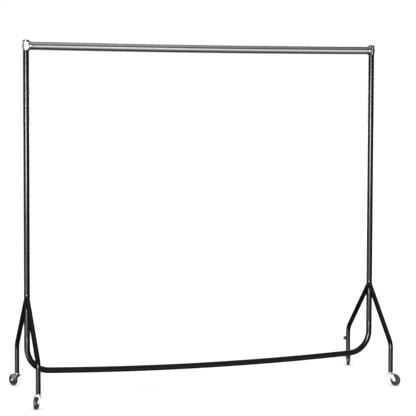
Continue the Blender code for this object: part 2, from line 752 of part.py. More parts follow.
def hub_mesh():
    """Plastic wheel centre: rim, web and boss in one moulding."""
    boss_half = ARM_INNER - GAP
    rim_half = WHEEL_WIDTH / 2 - HUB_RIM_STEP
    rim_inner = HUB_RADIUS - HUB_RIM_THICKNESS
    bore = around_radius(AXLE_RADIUS, HUB_SIDES)
    upper = [
        (bore, boss_half),
        (HUB_BOSS_RADIUS, boss_half),
        (HUB_BOSS_RADIUS, HUB_WEB / 2),
        (rim_inner, HUB_WEB / 2),
        (rim_inner, rim_half),
        (HUB_RADIUS, rim_half),
    ]
    return along_axle(finished(turned("hub", mirrored(upper), HUB_SIDES, PLASTIC)))


def tyre_mesh():
    """Rubber tyre with a flat tread, so that a facet rests on the floor."""
    upper = [
        (TYRE_BORE, WHEEL_WIDTH / 2),
        (WHEEL_RADIUS - TREAD_SHOULDER, WHEEL_WIDTH / 2),
        (WHEEL_RADIUS, TREAD_FLAT / 2),
    ]
    return along_axle(finished(turned("tyre", mirrored(upper), TYRE_SIDES, RUBBER)))


def castor_pieces():
    """Mesh, material and carrier of each piece of a castor."""
    return {
        "castor_insert": (insert_mesh(), PLASTIC, "leg"),
        "castor_stem": (stem_mesh(), ZINC, "swivel"),
        "castor_grip_ring": (grip_ring_mesh(), ZINC, "swivel"),
        "castor_washer": (washer_mesh(), ZINC, "swivel"),
        "castor_fork": (fork_mesh(), ZINC, "swivel"),
        "castor_axle": (axle_mesh(), ZINC, "swivel"),
        "wheel_hub": (hub_mesh(), PLASTIC, "wheel"),
        "wheel_tyre": (tyre_mesh(), RUBBER, "wheel"),
    }


def add_pivot(name, location, parent=None):
    """An empty on a joint's axis."""
    pivot = bpy.data.objects.new(name, None)
    PARTS.objects.link(pivot)
    pivot.location = location
    pivot.parent = parent
    return pivot


def place_castor(end, side, pieces):
    """Hang a castor's pieces on pivots under one leg."""
    place = (ENDS[end] * END_X, SIDES[side] * FOOT_Y, 0)
    leg_end = add_pivot(f"leg_end_{end}_{side}", place)
    swivel = add_pivot(f"swivel_{end}_{side}", place)
    swivel.rotation_euler.z = math.radians(CASTOR_HEADINGS[end, side])
    wheel = add_pivot(f"wheel_{end}_{side}", (TRAIL, 0, AXLE_HEIGHT), swivel)
    carriers = {"leg": leg_end, "swivel": swivel, "wheel": wheel}
    for name, (mesh, material, carrier) in pieces.items():
        piece = add_object(f"{name}_{end}_{side}", mesh, material)
        piece.parent = carriers[carrier]


# ------------------------------------------------------------------- assembly
def build_rack():
    """Build every piece of the rack."""
    build_top_rail()
    build_joiner()
    build_frame_screws()
    pieces = castor_pieces()
    for end in ENDS:
        build_upright(end)
        build_corner(end)
        build_socket_tube(end)
        build_base_rail(end)
        for side in SIDES:
            build_leg(end, side)
            place_castor(end, side, pieces)
    build_stud()


clear_scene()
PARTS = make_collection(OBJECT_NAME)
CUTTERS = make_collection("cutters")
BLACK_PAINT = make_material("black_paint", (0.012, 0.012, 0.013), 0.32, 0.0)
CHROME = make_material("chrome", (0.78, 0.78, 0.79), 0.12, 1.0)
ZINC = make_material("zinc", (0.70, 0.70, 0.71), 0.28, 1.0)
PLASTIC = make_material("plastic", (0.030, 0.030, 0.032), 0.50, 0.0)
RUBBER = make_material("rubber", (0.022, 0.022, 0.023), 0.70, 0.0)
build_rack()
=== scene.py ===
"""Visual model of a rolling clothes rack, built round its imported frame.

A chromed hanging rail sits on two black uprights.  A-shaped feet with swivel
castors carry the uprights, and a U-shaped base rail ties the feet together.
Each class builds and dresses one sub-assembly.  Units are metres, +Z is up,
and every piece is made in the place that the frame gives it.
"""
import logging
import math
from dataclasses import dataclass, field
from enum import Enum
from typing import Any, Iterable, Optional, Sequence, Union

import bmesh
import bpy
import numpy as np
from mathutils import Matrix, Vector


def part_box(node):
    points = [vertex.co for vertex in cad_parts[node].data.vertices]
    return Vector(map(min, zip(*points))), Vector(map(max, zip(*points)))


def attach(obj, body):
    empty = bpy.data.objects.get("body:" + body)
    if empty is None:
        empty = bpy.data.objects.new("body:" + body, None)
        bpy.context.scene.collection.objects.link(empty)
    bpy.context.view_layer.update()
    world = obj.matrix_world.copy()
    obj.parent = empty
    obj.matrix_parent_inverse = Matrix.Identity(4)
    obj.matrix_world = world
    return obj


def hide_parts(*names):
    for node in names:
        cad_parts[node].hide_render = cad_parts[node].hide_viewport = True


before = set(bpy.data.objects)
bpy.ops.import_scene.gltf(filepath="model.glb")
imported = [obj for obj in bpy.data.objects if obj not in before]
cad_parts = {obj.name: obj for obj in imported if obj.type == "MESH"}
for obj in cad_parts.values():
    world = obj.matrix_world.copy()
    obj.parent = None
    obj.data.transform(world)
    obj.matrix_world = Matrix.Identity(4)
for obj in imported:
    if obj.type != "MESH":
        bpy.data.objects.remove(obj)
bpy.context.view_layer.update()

LOG = logging.getLogger("rack")
SMOOTH_ANGLE = math.radians(35)  # edges that turn more stay sharp
MERGE = 0.00001                  # vertices nearer than this are one
ARC_STEPS = 5                    # segments of a small rounding
SLOT_SHARE = 0.3                 # half width of a cross recess's slot, of its size
LEAST_SINE = 0.01                # keeps a slot's far end finite
TREE_INPUT = "in:"               # marks the name of a node tree's input

Point2D = tuple[float, float]
Point3D = tuple[float, float, float]
Corner2D = tuple[float, float, float]  # across, up, and the radius of its rounding


# -------------------------------------------------------------------- options
class End(Enum):
    """An end of the rack, with the sign of its X."""

    LEFT = -1
    RIGHT = 1

    @property
    def label(self) -> str:
        """Word that the frame's names use."""
        return self.name.lower()


class Side(Enum):
    """A side of the rack, with the sign of its Y."""

    FRONT = -1
    REAR = 1

    @property
    def label(self) -> str:
        """Word that the frame's names use."""
        return self.name.lower()


class Drive(Enum):
    """Shape of the recess in a screw's head."""

    NONE = "none"
    HEX = "hex"
    CROSS = "cross"

    def reach(self, angle: float, size: float) -> float:
        """Distance from the middle to the outline at an angle.

        Args:
            angle: Direction about the screw's axis, in radians.
            size: Largest distance from the middle.

        Returns:
            The outline's distance in that direction.
        """
        if self is Drive.NONE:
            return size
        turn = math.radians(60 if self is Drive.HEX else 90)
        offset = (angle + turn / 2) % turn - turn / 2
        if self is Drive.HEX:
            return size * math.cos(turn / 2) / math.cos(offset)
        return min(size, size * SLOT_SHARE / max(abs(math.sin(offset)), LEAST_SINE))


# ------------------------------------------------------------- shader language
class Signal:
    """A shader socket that takes part in Python arithmetic."""

    def __init__(self, sheet: "NodeSheet", socket: bpy.types.NodeSocket) -> None:
        """Wrap a socket of a node sheet."""
        self.sheet = sheet
        self.socket = socket

    def _math(self, operation: str, first: Any, second: Any) -> "Signal":
        """Add a Math node that works on two values."""
        return self.sheet.node("ShaderNodeMath", {"operation": operation}, {0: first, 1: second})

    def __add__(self, other: Union["Signal", float]) -> "Signal":
        """Sum of two signals."""
        return self._math("ADD", self, other)

    __radd__ = __add__

    def __sub__(self, other: Union["Signal", float]) -> "Signal":
        """This signal less another."""
        return self._math("SUBTRACT", self, other)

    def __rsub__(self, other: float) -> "Signal":
        """A number less this signal."""
        return self._math("SUBTRACT", other, self)

    def __mul__(self, other: Union["Signal", float]) -> "Signal":
        """Product of two signals."""
        return self._math("MULTIPLY", self, other)

    __rmul__ = __mul__

    def between(self, low: float, high: float) -> "Signal":
        """A smooth step from 0 at low to 1 at high."""
        settings = {"interpolation_type": "SMOOTHSTEP"}
        return self.sheet.node(
            "ShaderNodeMapRange", settings, {"Value": self, "From Min": low, "From Max": high}
        )


class NodeSheet:
    """A node tree that is written as expressions."""

    def __init__(self, tree: bpy.types.NodeTree) -> None:
        """Start from an empty tree."""
        self.tree = tree
        tree.nodes.clear()

    def node(
        self,
        kind: str,
        settings: Optional[dict[str, Any]] = None,
        inputs: Optional[dict[Union[str, int], Any]] = None,
        output: Union[str, int] = 0,
    ) -> Signal:
        """Add a node.

        Args:
            kind: The node's type.
            settings: Its properties, which are set first.
            inputs: Values or signals of its sockets.
            output: The socket that is handed back.

        Returns:
            The signal of that output.
        """
        made = self.tree.nodes.new(kind)
        for name, value in (settings or {}).items():
            setattr(made, name, value)
        for name, value in (inputs or {}).items():
            if isinstance(value, Signal):
                self.tree.links.new(value.socket, made.inputs[name])
            else:
                made.inputs[name].default_value = value
        return Signal(self, made.outputs[output] if made.outputs else None)

    def mix(self, share: Signal, first: Sequence[float], second: Sequence[float]) -> Signal:
        """A colour between two colours.

        Args:
            share: 0 for the first colour, 1 for the second.
            first: Linear RGB.
            second: Linear RGB.

        Returns:
            The mixed colour.
        """
        colours = {0: share, 6: (*first, 1.0), 7: (*second, 1.0)}
        return self.node("ShaderNodeMix", {"data_type": "RGBA"}, colours, output=2)

    def stretched(self, scale: Sequence[float]) -> Signal:
        """Object coordinates stretched by a factor on each axis."""
        place = self.node("ShaderNodeTexCoord", output="Object")
        return self.node("ShaderNodeMapping", inputs={"Vector": place, "Scale": scale})

    def noise(
        self,
        scale: float,
        detail: float = 2.0,
        stretch: Sequence[float] = (1.0, 1.0, 1.0),
    ) -> Signal:
        """Noise over the object.

        Args:
            scale: Cells per metre.
            detail: Octaves.
            stretch: Factor on each axis before the scale.

        Returns:
            A signal of about 0 to 1.
        """
        inputs = {"Vector": self.stretched(stretch), "Scale": scale, "Detail": detail}
        return self.node("ShaderNodeTexNoise", inputs=inputs)

    def bump(self, height: Signal, distance: float) -> Signal:
        """A normal bent by a height signal of that many metres."""
        inputs = {"Height": height, "Distance": distance}
        return self.node("ShaderNodeBump", inputs=inputs, output="Normal")

    def axis(self, vector: Signal, name: str) -> Signal:
        """One component, "X", "Y" or "Z", of a vector signal."""
        return self.node("ShaderNodeSeparateXYZ", inputs={0: vector}, output=name)


# -------------------------------------------------------------------- finishes
@dataclass(frozen=True)
class Finish:
    """A surface finish of the rack.

    Args:
        name: The material's name.
        slot: Name of its material slot; not used.
        dark: Linear RGB of its darker patches.
        light: Linear RGB of its lighter patches.
        roughness: Its middle roughness.
        metallic: 0 or 1.
        specular: Level of its gloss, where 0.5 is usual.
    """

    name: str
    slot: str
    dark: Point3D
    light: Point3D
    roughness: float
    metallic: float = 0.0
    specular: float = 0.5

    def material(self) -> bpy.types.Material:
        """The finish's material, made on first use.

        Returns:
            The material, which every piece of this finish shares.
        """
        found = bpy.data.materials.get(self.name)
        if found:
            return found
        made = bpy.data.materials.new(self.name)
        made.use_nodes = True
        sheet = NodeSheet(made.node_tree)
        colour, roughness, normal = self.pattern(sheet)
        shader = sheet.node(
            "ShaderNodeBsdfPrincipled",
            inputs={
                "Base Color": colour,
                "Roughness": roughness,
                "Metallic": self.metallic,
                "Specular IOR Level": self.specular,
                "Normal": normal,
            },
        )
        sheet.node("ShaderNodeOutputMaterial", inputs={"Surface": shader})
        return made

    def pattern(self, sheet: NodeSheet) -> tuple[Signal, Signal, Signal]:
        """Colour, roughness and normal over the surface.

        Args:
            sheet: The material's node sheet.

        Returns:
            The three signals.
        """
        raise NotImplementedError


@dataclass(frozen=True)
class PowderCoat(Finish):
    """Black powder coat: fine orange peel, soft scuffs and a little dust."""

    cloud_scale: float = 18.0
    cloud_haze: float = 0.10
    scuff_scale: float = 70.0
    scuff_stretch: Point3D = (1.0, 1.0, 0.12)
    scuff_edges: Point2D = (0.58, 0.74)
    scuff_haze: float = 0.07
    dust_scale: float = 260.0
    dust_edges: Point2D = (0.45, 0.75)
    dust_slope: Point2D = (0.5, 1.0)
    dust_share: float = 0.4
    dust_haze: float = 0.12
    least_haze: float = -0.06
    peel_scale: float = 900.0
    peel_depth: float = 0.000007

    def pattern(self, sheet: NodeSheet) -> tuple[Signal, Signal, Signal]:
        """Colour, roughness and normal of powder coat.

        Args:
            sheet: The material's node sheet.

        Returns:
            The three signals.
        """
        cloud = sheet.noise(self.cloud_scale, detail=4.0)
        scuffs = sheet.noise(self.scuff_scale, detail=3.0, stretch=self.scuff_stretch)
        scuffs = scuffs.between(*self.scuff_edges)
        facing = sheet.node("ShaderNodeNewGeometry", output="Normal")
        upward = sheet.axis(facing, "Z").between(*self.dust_slope)
        dust = upward * sheet.noise(self.dust_scale).between(*self.dust_edges)
        peel = sheet.noise(self.peel_scale)
        patches = cloud * (1.0 - self.dust_share) + dust * self.dust_share
        haze = cloud * self.cloud_haze + scuffs * self.scuff_haze + dust * self.dust_haze
        roughness = self.roughness + self.least_haze + haze
        return sheet.mix(patches, self.dark, self.light), roughness, sheet.bump(peel, self.peel_depth)


@dataclass(frozen=True)
class Chrome(Finish):
    """Bright chrome: faint haze, polishing lines, finger marks and slow waviness."""

    haze_scale: float = 26.0
    haze_amount: float = 0.05
    line_scale: float = 900.0
    line_stretch: Point3D = (1.0, 0.06, 0.06)
    line_haze: float = 0.03
    line_height: float = 0.02
    print_scale: float = 9.0
    print_edges: Point2D = (0.55, 0.78)
    print_haze: float = 0.05
    least_haze: float = -0.03
    wave_scale: float = 22.0
    wave_stretch: Point3D = (0.35, 1.0, 1.0)
    wave_depth: float = 0.00012

    def pattern(self, sheet: NodeSheet) -> tuple[Signal, Signal, Signal]:
        """Colour, roughness and normal of chrome.

        Args:
            sheet: The material's node sheet.

        Returns:
            The three signals.
        """
        cloud = sheet.noise(self.haze_scale, detail=5.0)
        lines = sheet.noise(self.line_scale, stretch=self.line_stretch)
        prints = sheet.noise(self.print_scale, detail=3.0).between(*self.print_edges)
        waves = sheet.noise(self.wave_scale, detail=1.0, stretch=self.wave_stretch)
        haze = cloud * self.haze_amount + lines * self.line_haze + prints * self.print_haze
        roughness = self.roughness + self.least_haze + haze
        height = waves + lines * self.line_height
        return sheet.mix(cloud, self.dark, self.light), roughness, sheet.bump(height, self.wave_depth)


@dataclass(frozen=True)
class ZincPlate(Finish):
    """Bright zinc on pressed steel: spangle, drawing marks and a soft haze."""

    spangle_scale: float = 420.0
    spangle_share: float = 0.4
    haze_scale: float = 140.0
    haze_share: float = 0.7
    haze_amount: float = 0.10
    mark_scale: float = 1500.0
    mark_stretch: Point3D = (0.08, 0.08, 1.0)
    mark_haze: float = 0.06
    least_haze: float = -0.06
    haze_height: float = 0.5
    relief: float = 0.00003

    def pattern(self, sheet: NodeSheet) -> tuple[Signal, Signal, Signal]:
        """Colour, roughness and normal of zinc plate.

        Args:
            sheet: The material's node sheet.

        Returns:
            The three signals.
        """
        inputs = {"Vector": sheet.stretched((1.0, 1.0, 1.0)), "Scale": self.spangle_scale}
        spangle = sheet.node("ShaderNodeTexVoronoi", inputs=inputs, output="Distance")
        haze = sheet.noise(self.haze_scale, detail=4.0)
        marks = sheet.noise(self.mark_scale, stretch=self.mark_stretch)
        patches = haze * self.haze_share + spangle * self.spangle_share
        roughness = self.roughness + self.least_haze + haze * self.haze_amount + marks * self.mark_haze
        normal = sheet.bump(marks + haze * self.haze_height, self.relief)
        return sheet.mix(patches, self.light, self.dark), roughness, normal


@dataclass(frozen=True)
class Moulded(Finish):
    """Moulded plastic or rubber: fine grain, bloom and scuffed high spots."""

    bloom_scale: float = 90.0
    bloom_share: float = 0.7
    bloom_haze: float = 0.10
    scuff_scale: float = 320.0
    scuff_edges: Point2D = (0.55, 0.72)
    scuff_share: float = 0.3
    scuff_haze: float = 0.08
    least_haze: float = -0.05
    grain_scale: float = 1400.0
    grain_depth: float = 0.00005

    def pattern(self, sheet: NodeSheet) -> tuple[Signal, Signal, Signal]:
        """Colour, roughness and normal of a moulding.

        Args:
            sheet: The material's node sheet.

        Returns:
            The three signals.
        """
        grain = sheet.noise(self.grain_scale, detail=3.0)
        bloom = sheet.noise(self.bloom_scale, detail=4.0)
        scuffs = sheet.noise(self.scuff_scale, detail=3.0).between(*self.scuff_edges)
        patches = bloom * self.bloom_share + scuffs * self.scuff_share
        haze = bloom * self.bloom_haze + scuffs * self.scuff_haze
        roughness = self.roughness + self.least_haze + haze
        return sheet.mix(patches, self.dark, self.light), roughness, sheet.bump(grain, self.grain_depth)


BLACK_PAINT = PowderCoat(
    name="powder_coat",
    slot="black_paint",
    dark=(0.003, 0.003, 0.003),
    light=(0.008, 0.008, 0.008),
    roughness=0.23,
    specular=0.3,
)
CHROME = Chrome(
    name="bright_chrome",
    slot="chrome",
    dark=(0.70, 0.70, 0.71),
    light=(0.84, 0.84, 0.85),
    roughness=0.10,
    metallic=1.0,
)
CAST_CHROME = Chrome(
    name="cast_chrome",
    slot="chrome",
    dark=(0.66, 0.66, 0.67),
    light=(0.82, 0.82, 0.83),
    roughness=0.09,
    metallic=1.0,
    wave_scale=60.0,
    wave_depth=0.00002,
)
ZINC = ZincPlate(
    name="zinc_plate",
    slot="zinc",
    dark=(0.62, 0.62, 0.63),
    light=(0.90, 0.90, 0.90),
    roughness=0.28,
    metallic=1.0,
)
PLASTIC = Moulded(
    name="moulded_plastic",
    slot="plastic",
    dark=(0.020, 0.020, 0.021),
    light=(0.040, 0.040, 0.042),
    roughness=0.42,
)
RUBBER = Moulded(
    name="tyre_rubber",
    slot="rubber",
    dark=(0.014, 0.014, 0.014),
    light=(0.034, 0.034, 0.034),
    roughness=0.46,
    grain_scale=1100.0,
    grain_depth=0.00008,
)


# --------------------------------------------------------------- mesh workshop
def fillet(before: Vector, corner: Vector, after: Vector, radius: float, steps: int) -> list[Vector]:
    """Points of the arc that rounds a corner of a path.

    Args:
        before: The path's point before the corner.
        corner: The sharp corner.
        after: The path's point after the corner.
        radius: Radius of the arc.
        steps: Segments of the arc.

    Returns:
        The arc's points, from before to after.
    """
    to_before = (before - corner).normalized()
    to_after = (after - corner).normalized()
    half_angle = to_before.angle(to_after) / 2
    centre = corner + (to_before + to_after).normalized() * radius / math.sin(half_angle)
    first = corner + to_before * radius / math.tan(half_angle) - centre
    last = corner + to_after * radius / math.tan(half_angle) - centre
    axis = first.cross(last)
    turn = first.angle(last)
    turns = [turn * step / steps for step in range(steps + 1)]
    return [centre + Matrix.Rotation(angle, 3, axis) @ first for angle in turns]


def rounded(corners: Sequence[Corner2D], steps: int = ARC_STEPS) -> list[Point2D]:
    """An open outline whose corners are arcs.

    Args:
        corners: (across, up, radius) of each corner; radius 0 stays sharp.
        steps: Segments of each arc.

    Returns:
        The outline's points.
    """
    places = [Vector((across, 0, up)) for across, up, _ in corners]
    points: list[Vector] = []
    for index, (_, _, radius) in enumerate(corners):
        if radius == 0:
            points.append(places[index])
        else:
            points += fillet(places[index - 1], places[index], places[index + 1], radius, steps)
    return [(point.x, point.z) for point in points]


def tidy(mesh: bpy.types.Mesh) -> bpy.types.Mesh:
    """Merge doubles, turn the faces outwards and shade a mesh.

    Args:
        mesh: A closed mesh.

    Returns:
        The same mesh.
    """
    editable = bmesh.new()
    editable.from_mesh(mesh)
    bmesh.ops.remove_doubles(editable, verts=editable.verts, dist=MERGE)
    bmesh.ops.recalc_face_normals(editable, faces=editable.faces)
    editable.to_mesh(mesh)
    editable.free()
    mesh.shade_smooth()
    mesh.set_sharp_from_angle(angle=SMOOTH_ANGLE)
    return mesh


def turned(
    name: str,
    profile: Sequence[Point2D],
    sides: int,
    drive: Drive = Drive.NONE,
    driven: int = 0,
) -> bpy.types.Mesh:
    """A solid turned about Z.

    Args:
        name: The mesh's name.
        profile: (radius, height) points.  One that starts and ends on the axis
            is a solid, and any other one is a ring.
        sides: Facets round the axis.
        drive: Shape of a recess in its top.
        driven: How many of the first points have the recess's shape.

    Returns:
        The mesh.
    """
    vertices: list[Point3D] = []
    rings: list[list[int]] = []
    for index, (radius, height) in enumerate(profile):
        count = sides if radius > 0 else 1
        shape = drive if index < driven else Drive.NONE
        ring = []
        for step in range(count):
            angle = 2 * math.pi * step / sides
            reach = shape.reach(angle, radius) if radius > 0 else 0.0
            ring.append(len(vertices))
            vertices.append((reach * math.cos(angle), reach * math.sin(angle), height))
        rings.append(ring)
    if profile[0][0] > 0:
        rings.append(rings[0])
    faces = []
    for upper, lower in zip(rings, rings[1:]):
        for step in range(sides):
            following = (step + 1) % sides
            corners = [upper[step % len(upper)], upper[following % len(upper)]]
            corners += [lower[following % len(lower)], lower[step % len(lower)]]
            faces.append(list(dict.fromkeys(corners)))
    mesh = bpy.data.meshes.new(name)
    mesh.from_pydata(vertices, [], faces)
    return tidy(mesh)


def add_object(name: str, mesh: bpy.types.Mesh) -> bpy.types.Object:
    """Link a mesh to the scene as an object.

    Args:
        name: The object's name.
        mesh: Its mesh.

    Returns:
        The object.
    """
    obj = bpy.data.objects.new(name, mesh)
    bpy.context.scene.collection.objects.link(obj)
    return obj


def plain_mesh(obj: bpy.types.Object) -> bpy.types.Mesh:
    """An object's evaluated mesh, without the object.

    Args:
        obj: An object with modifiers, which is removed.

    Returns:
        A mesh of its own.
    """
    name = obj.data.name
    depsgraph = bpy.context.evaluated_depsgraph_get()
    mesh = bpy.data.meshes.new_from_object(obj.evaluated_get(depsgraph))
    bpy.data.objects.remove(obj)
    mesh.name = name
    return mesh


def joined(name: str, meshes: Iterable[bpy.types.Mesh]) -> bpy.types.Mesh:
    """One mesh that holds several.

    Args:
        name: The new mesh's name.
        meshes: Meshes of one finish.

    Returns:
        The joined mesh.
    """
    editable = bmesh.new()
    for mesh in meshes:
        editable.from_mesh(mesh)
    whole = bpy.data.meshes.new(name)
    editable.to_mesh(whole)
    editable.free()
    whole.shade_smooth()
    whole.set_sharp_from_angle(angle=SMOOTH_ANGLE)
    return whole


def moved(mesh: bpy.types.Mesh, matrix: Matrix) -> bpy.types.Mesh:
    """A copy of a mesh, moved by a matrix.

    Args:
        mesh: The mesh, which stays as it is.
        matrix: The move.

    Returns:
        The copy.
    """
    copy = mesh.copy()
    copy.transform(matrix)
    return copy


def aimed(place: Sequence[float], direction: Sequence[float]) -> Matrix:
    """A matrix that turns Z along a direction and moves to a place."""
    turn = Vector((0, 0, 1)).rotation_difference(Vector(direction)).to_matrix().to_4x4()
    return Matrix.Translation(place) @ turn


def centre_of(node: str) -> Vector:
    """Middle of a node's box."""
    low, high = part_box(node)
    return (low + high) / 2


def show(
    name: str,
    mesh: bpy.types.Mesh,
    body: str,
    finish: Finish,
    nodes: Sequence[str],
) -> bpy.types.Object:
    """Put a finished mesh on the rack.

    Args:
        name: The piece's name.
        mesh: Its mesh, in the frame's place.
        body: The body that it rides on.
        finish: Its surface finish.
        nodes: The nodes that it stands for.

    Returns:
        The piece.
    """
    obj = add_object(name, mesh)
    mesh.materials.clear()
    mesh.materials.append(finish.material())
    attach(obj, body)
    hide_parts(*nodes)
    LOG.info("%s: %d faces on %s", name, len(mesh.polygons), body)
    return obj


# --------------------------------------------------------------- node workshop
class GeometryTree:
    """A Geometry Nodes tree with named inputs for its sizes."""

    def __init__(self, name: str, sizes: dict[str, tuple[str, Any]]) -> None:
        """Make the tree and its inputs.

        Args:
            name: The tree's name.
            sizes: Socket type and value of each input by name.
        """
        self.tree = bpy.data.node_groups.new(name, "GeometryNodeTree")
        face = self.tree.interface
        face.new_socket("Geometry", in_out="INPUT", socket_type="NodeSocketGeometry")
        face.new_socket("Geometry", in_out="OUTPUT", socket_type="NodeSocketGeometry")
        for label, (kind, value) in sizes.items():
            socket = face.new_socket(label, in_out="INPUT", socket_type=kind)
            if value is not None:
                socket.default_value = value
        self.inputs = self.tree.nodes.new("NodeGroupInput")

    def node(self, kind: str, settings: dict[str, Any], links: dict[Any, Any]) -> bpy.types.Node:
        """Add a node.

        Args:
            kind: The node's type.
            settings: Its properties.
            links: What its sockets take: values, sockets, or names of the
                tree's inputs after "in:".

        Returns:
            The node.
        """
        made = self.tree.nodes.new(kind)
        for name, value in settings.items():
            setattr(made, name, value)
        for name, value in links.items():
            if isinstance(value, str) and value.startswith(TREE_INPUT):
                value = self.inputs.outputs[value.removeprefix(TREE_INPUT)]
            if isinstance(value, bpy.types.NodeSocket):
                self.tree.links.new(value, made.inputs[name])
            else:
                made.inputs[name].default_value = value
        return made

    def attribute(self, name: str, kind: str) -> bpy.types.NodeSocket:
        """The value of a named attribute."""
        found = self.node("GeometryNodeInputNamedAttribute", {"data_type": kind}, {"Name": name})
        return found.outputs["Attribute"]

    def close(self, geometry: bpy.types.NodeSocket) -> None:
        """End the tree: realised, smooth and with its material.

        Args:
            geometry: The geometry to hand out.
        """
        real = self.node("GeometryNodeRealizeInstances", {}, {"Geometry": geometry})
        smooth = self.node("GeometryNodeSetShadeSmooth", {}, {"Geometry": real.outputs[0]})
        dressed = self.node(
            "GeometryNodeSetMaterial", {}, {"Geometry": smooth.outputs[0], "Material": "in:Material"}
        )
        self.node("NodeGroupOutput", {}, {"Geometry": dressed.outputs[0]})

    def run(self, mesh: bpy.types.Mesh, values: dict[str, Any]) -> bpy.types.Mesh:
        """Run the tree on a mesh.

        Args:
            mesh: The geometry that goes in.
            values: The inputs that this run sets, by name.

        Returns:
            A plain mesh of the result.
        """
        obj = add_object(mesh.name, mesh)
        modifier = obj.modifiers.new("Build", "NODES")
        modifier.node_group = self.tree
        for socket in self.tree.interface.items_tree:
            if socket.in_out == "INPUT" and socket.name in values:
                modifier[socket.identifier] = values[socket.name]
        return plain_mesh(obj)


class DrawnTube(GeometryTree):
    """Sweeps a round section along a line of points."""

    def __init__(self) -> None:
        """Build the tree."""
        super().__init__(
            "drawn_tube",
            {"Sides": ("NodeSocketInt", 40), "Material": ("NodeSocketMaterial", None)},
        )
        line = self.node("GeometryNodeMeshToCurve", {}, {"Mesh": "in:Geometry"})
        section = self.node(
            "GeometryNodeCurvePrimitiveCircle", {}, {"Resolution": "in:Sides", "Radius": 1.0}
        )
        tube = self.node(
            "GeometryNodeCurveToMesh",
            {},
            {
                "Curve": line.outputs[0],
                "Profile Curve": section.outputs[0],
                "Scale": self.attribute("radius", "FLOAT"),
                "Fill Caps": True,
            },
        )
        self.close(tube.outputs[0])

    def sweep(
        self,
        name: str,
        path: Sequence[Vector],
        radii: Sequence[float],
        finish: Finish,
        sides: int = 40,
    ) -> bpy.types.Mesh:
        """Sweep a tube.

        Args:
            name: The mesh's name.
            path: Points of its centre line.
            radii: Its outer radius at each point.
            finish: Its surface finish.
            sides: Facets round it.

        Returns:
            The tube's closed mesh.
        """
        line = bpy.data.meshes.new(name)
        line.from_pydata(path, [(index, index + 1) for index in range(len(path) - 1)], [])
        radius = line.attributes.new("radius", "FLOAT", "POINT")
        radius.data.foreach_set("value", radii)
        return tidy(self.run(line, {"Sides": sides, "Material": finish.material()}))


@dataclass
class Spot:
    """Where an instance stands: its place, its Z and its X, and its size."""

    place: Vector
    facing: Vector
    along: Vector
    size: float = 1.0


class Repeated(GeometryTree):
    """Puts copies of one shape at spots, each turned and sized to its spot."""

    def __init__(self) -> None:
        """Build the tree."""
        super().__init__(
            "repeated_shape",
            {
                "Shape": ("NodeSocketObject", None),
                "Size Variation": ("NodeSocketFloat", 0.0),
                "Seed": ("NodeSocketInt", 7),
                "Material": ("NodeSocketMaterial", None),
            },
        )
        shape = self.node("GeometryNodeObjectInfo", {}, {"Object": "in:Shape"})
        turn = self.node(
            "FunctionNodeAxesToRotation",
            {"primary_axis": "Z", "secondary_axis": "X"},
            {
                "Primary Axis": self.attribute("facing", "FLOAT_VECTOR"),
                "Secondary Axis": self.attribute("along", "FLOAT_VECTOR"),
            },
        )
        chance = self.node(
            "FunctionNodeRandomValue", {"data_type": "FLOAT"}, {2: -1.0, 3: 1.0, "Seed": "in:Seed"}
        )
        spread = self.node(
            "ShaderNodeMath",
            {"operation": "MULTIPLY"},
            {0: chance.outputs[1], 1: "in:Size Variation"},
        )
        size = self.node(
            "ShaderNodeMath",
            {"operation": "ADD"},
            {0: spread.outputs[0], 1: self.attribute("size", "FLOAT")},
        )
        copies = self.node(
            "GeometryNodeInstanceOnPoints",
            {},
            {
                "Points": "in:Geometry",
                "Instance": shape.outputs["Geometry"],
                "Rotation": turn.outputs[0],
                "Scale": size.outputs[0],
            },
        )
        self.close(copies.outputs[0])

    def scatter(
        self,
        name: str,
        shape: bpy.types.Mesh,
        spots: Sequence[Spot],
        finish: Finish,
        variation: float = 0.0,
    ) -> bpy.types.Mesh:
        """Repeat a shape.

        Args:
            name: The mesh's name.
            shape: The shape, about its own origin.
            spots: Where its copies stand.
            finish: Their surface finish.
            variation: How much their sizes differ, as a share.

        Returns:
            One mesh of every copy.
        """
        points = bpy.data.meshes.new(name)
        points.from_pydata([spot.place for spot in spots], [], [])
        for label, vectors in (
            ("facing", [spot.facing for spot in spots]),
            ("along", [spot.along for spot in spots]),
        ):
            attribute = points.attributes.new(label, "FLOAT_VECTOR", "POINT")
            attribute.data.foreach_set("vector", [value for vector in vectors for value in vector])
        sizes = points.attributes.new("size", "FLOAT", "POINT")
        sizes.data.foreach_set("value", [spot.size for spot in spots])
        master = add_object(f"{name}_shape", shape)
        values = {"Shape": master, "Size Variation": variation, "Material": finish.material()}
        mesh = self.run(points, values)
        bpy.data.objects.remove(master)
        mesh.shade_smooth()
        mesh.set_sharp_from_angle(angle=SMOOTH_ANGLE)
        return mesh


@dataclass
class Workshop:
    """The node trees that the sub-assemblies share."""

    tubes: DrawnTube = field(default_factory=DrawnTube)
    copies: Repeated = field(default_factory=Repeated)


def eased(path: Sequence[Vector], radius: float, edge: float) -> tuple[list[Vector], list[float]]:
    """A path and radii whose two ends have a rounded edge.

    Args:
        path: Points of the centre line.
        radius: The tube's outer radius.
        edge: Radius of the rounding.

    Returns:
        The path's points and the radius at each.
    """
    start = (path[1] - path[0]).normalized()
    finish = (path[-2] - path[-1]).normalized()
    angles = [math.radians(90) * step / ARC_STEPS for step in range(ARC_STEPS + 1)]
    insets = [edge * (1 - math.cos(angle)) for angle in angles]
    radii = [radius - edge * (1 - math.sin(angle)) for angle in angles]
    head = [path[0] + start * inset for inset in insets]
    tail = [path[-1] + finish * inset for inset in reversed(insets)]
    points = [*head, *path[1:-1], *tail]
    return points, [*radii, *([radius] * (len(path) - 2)), *reversed(radii)]


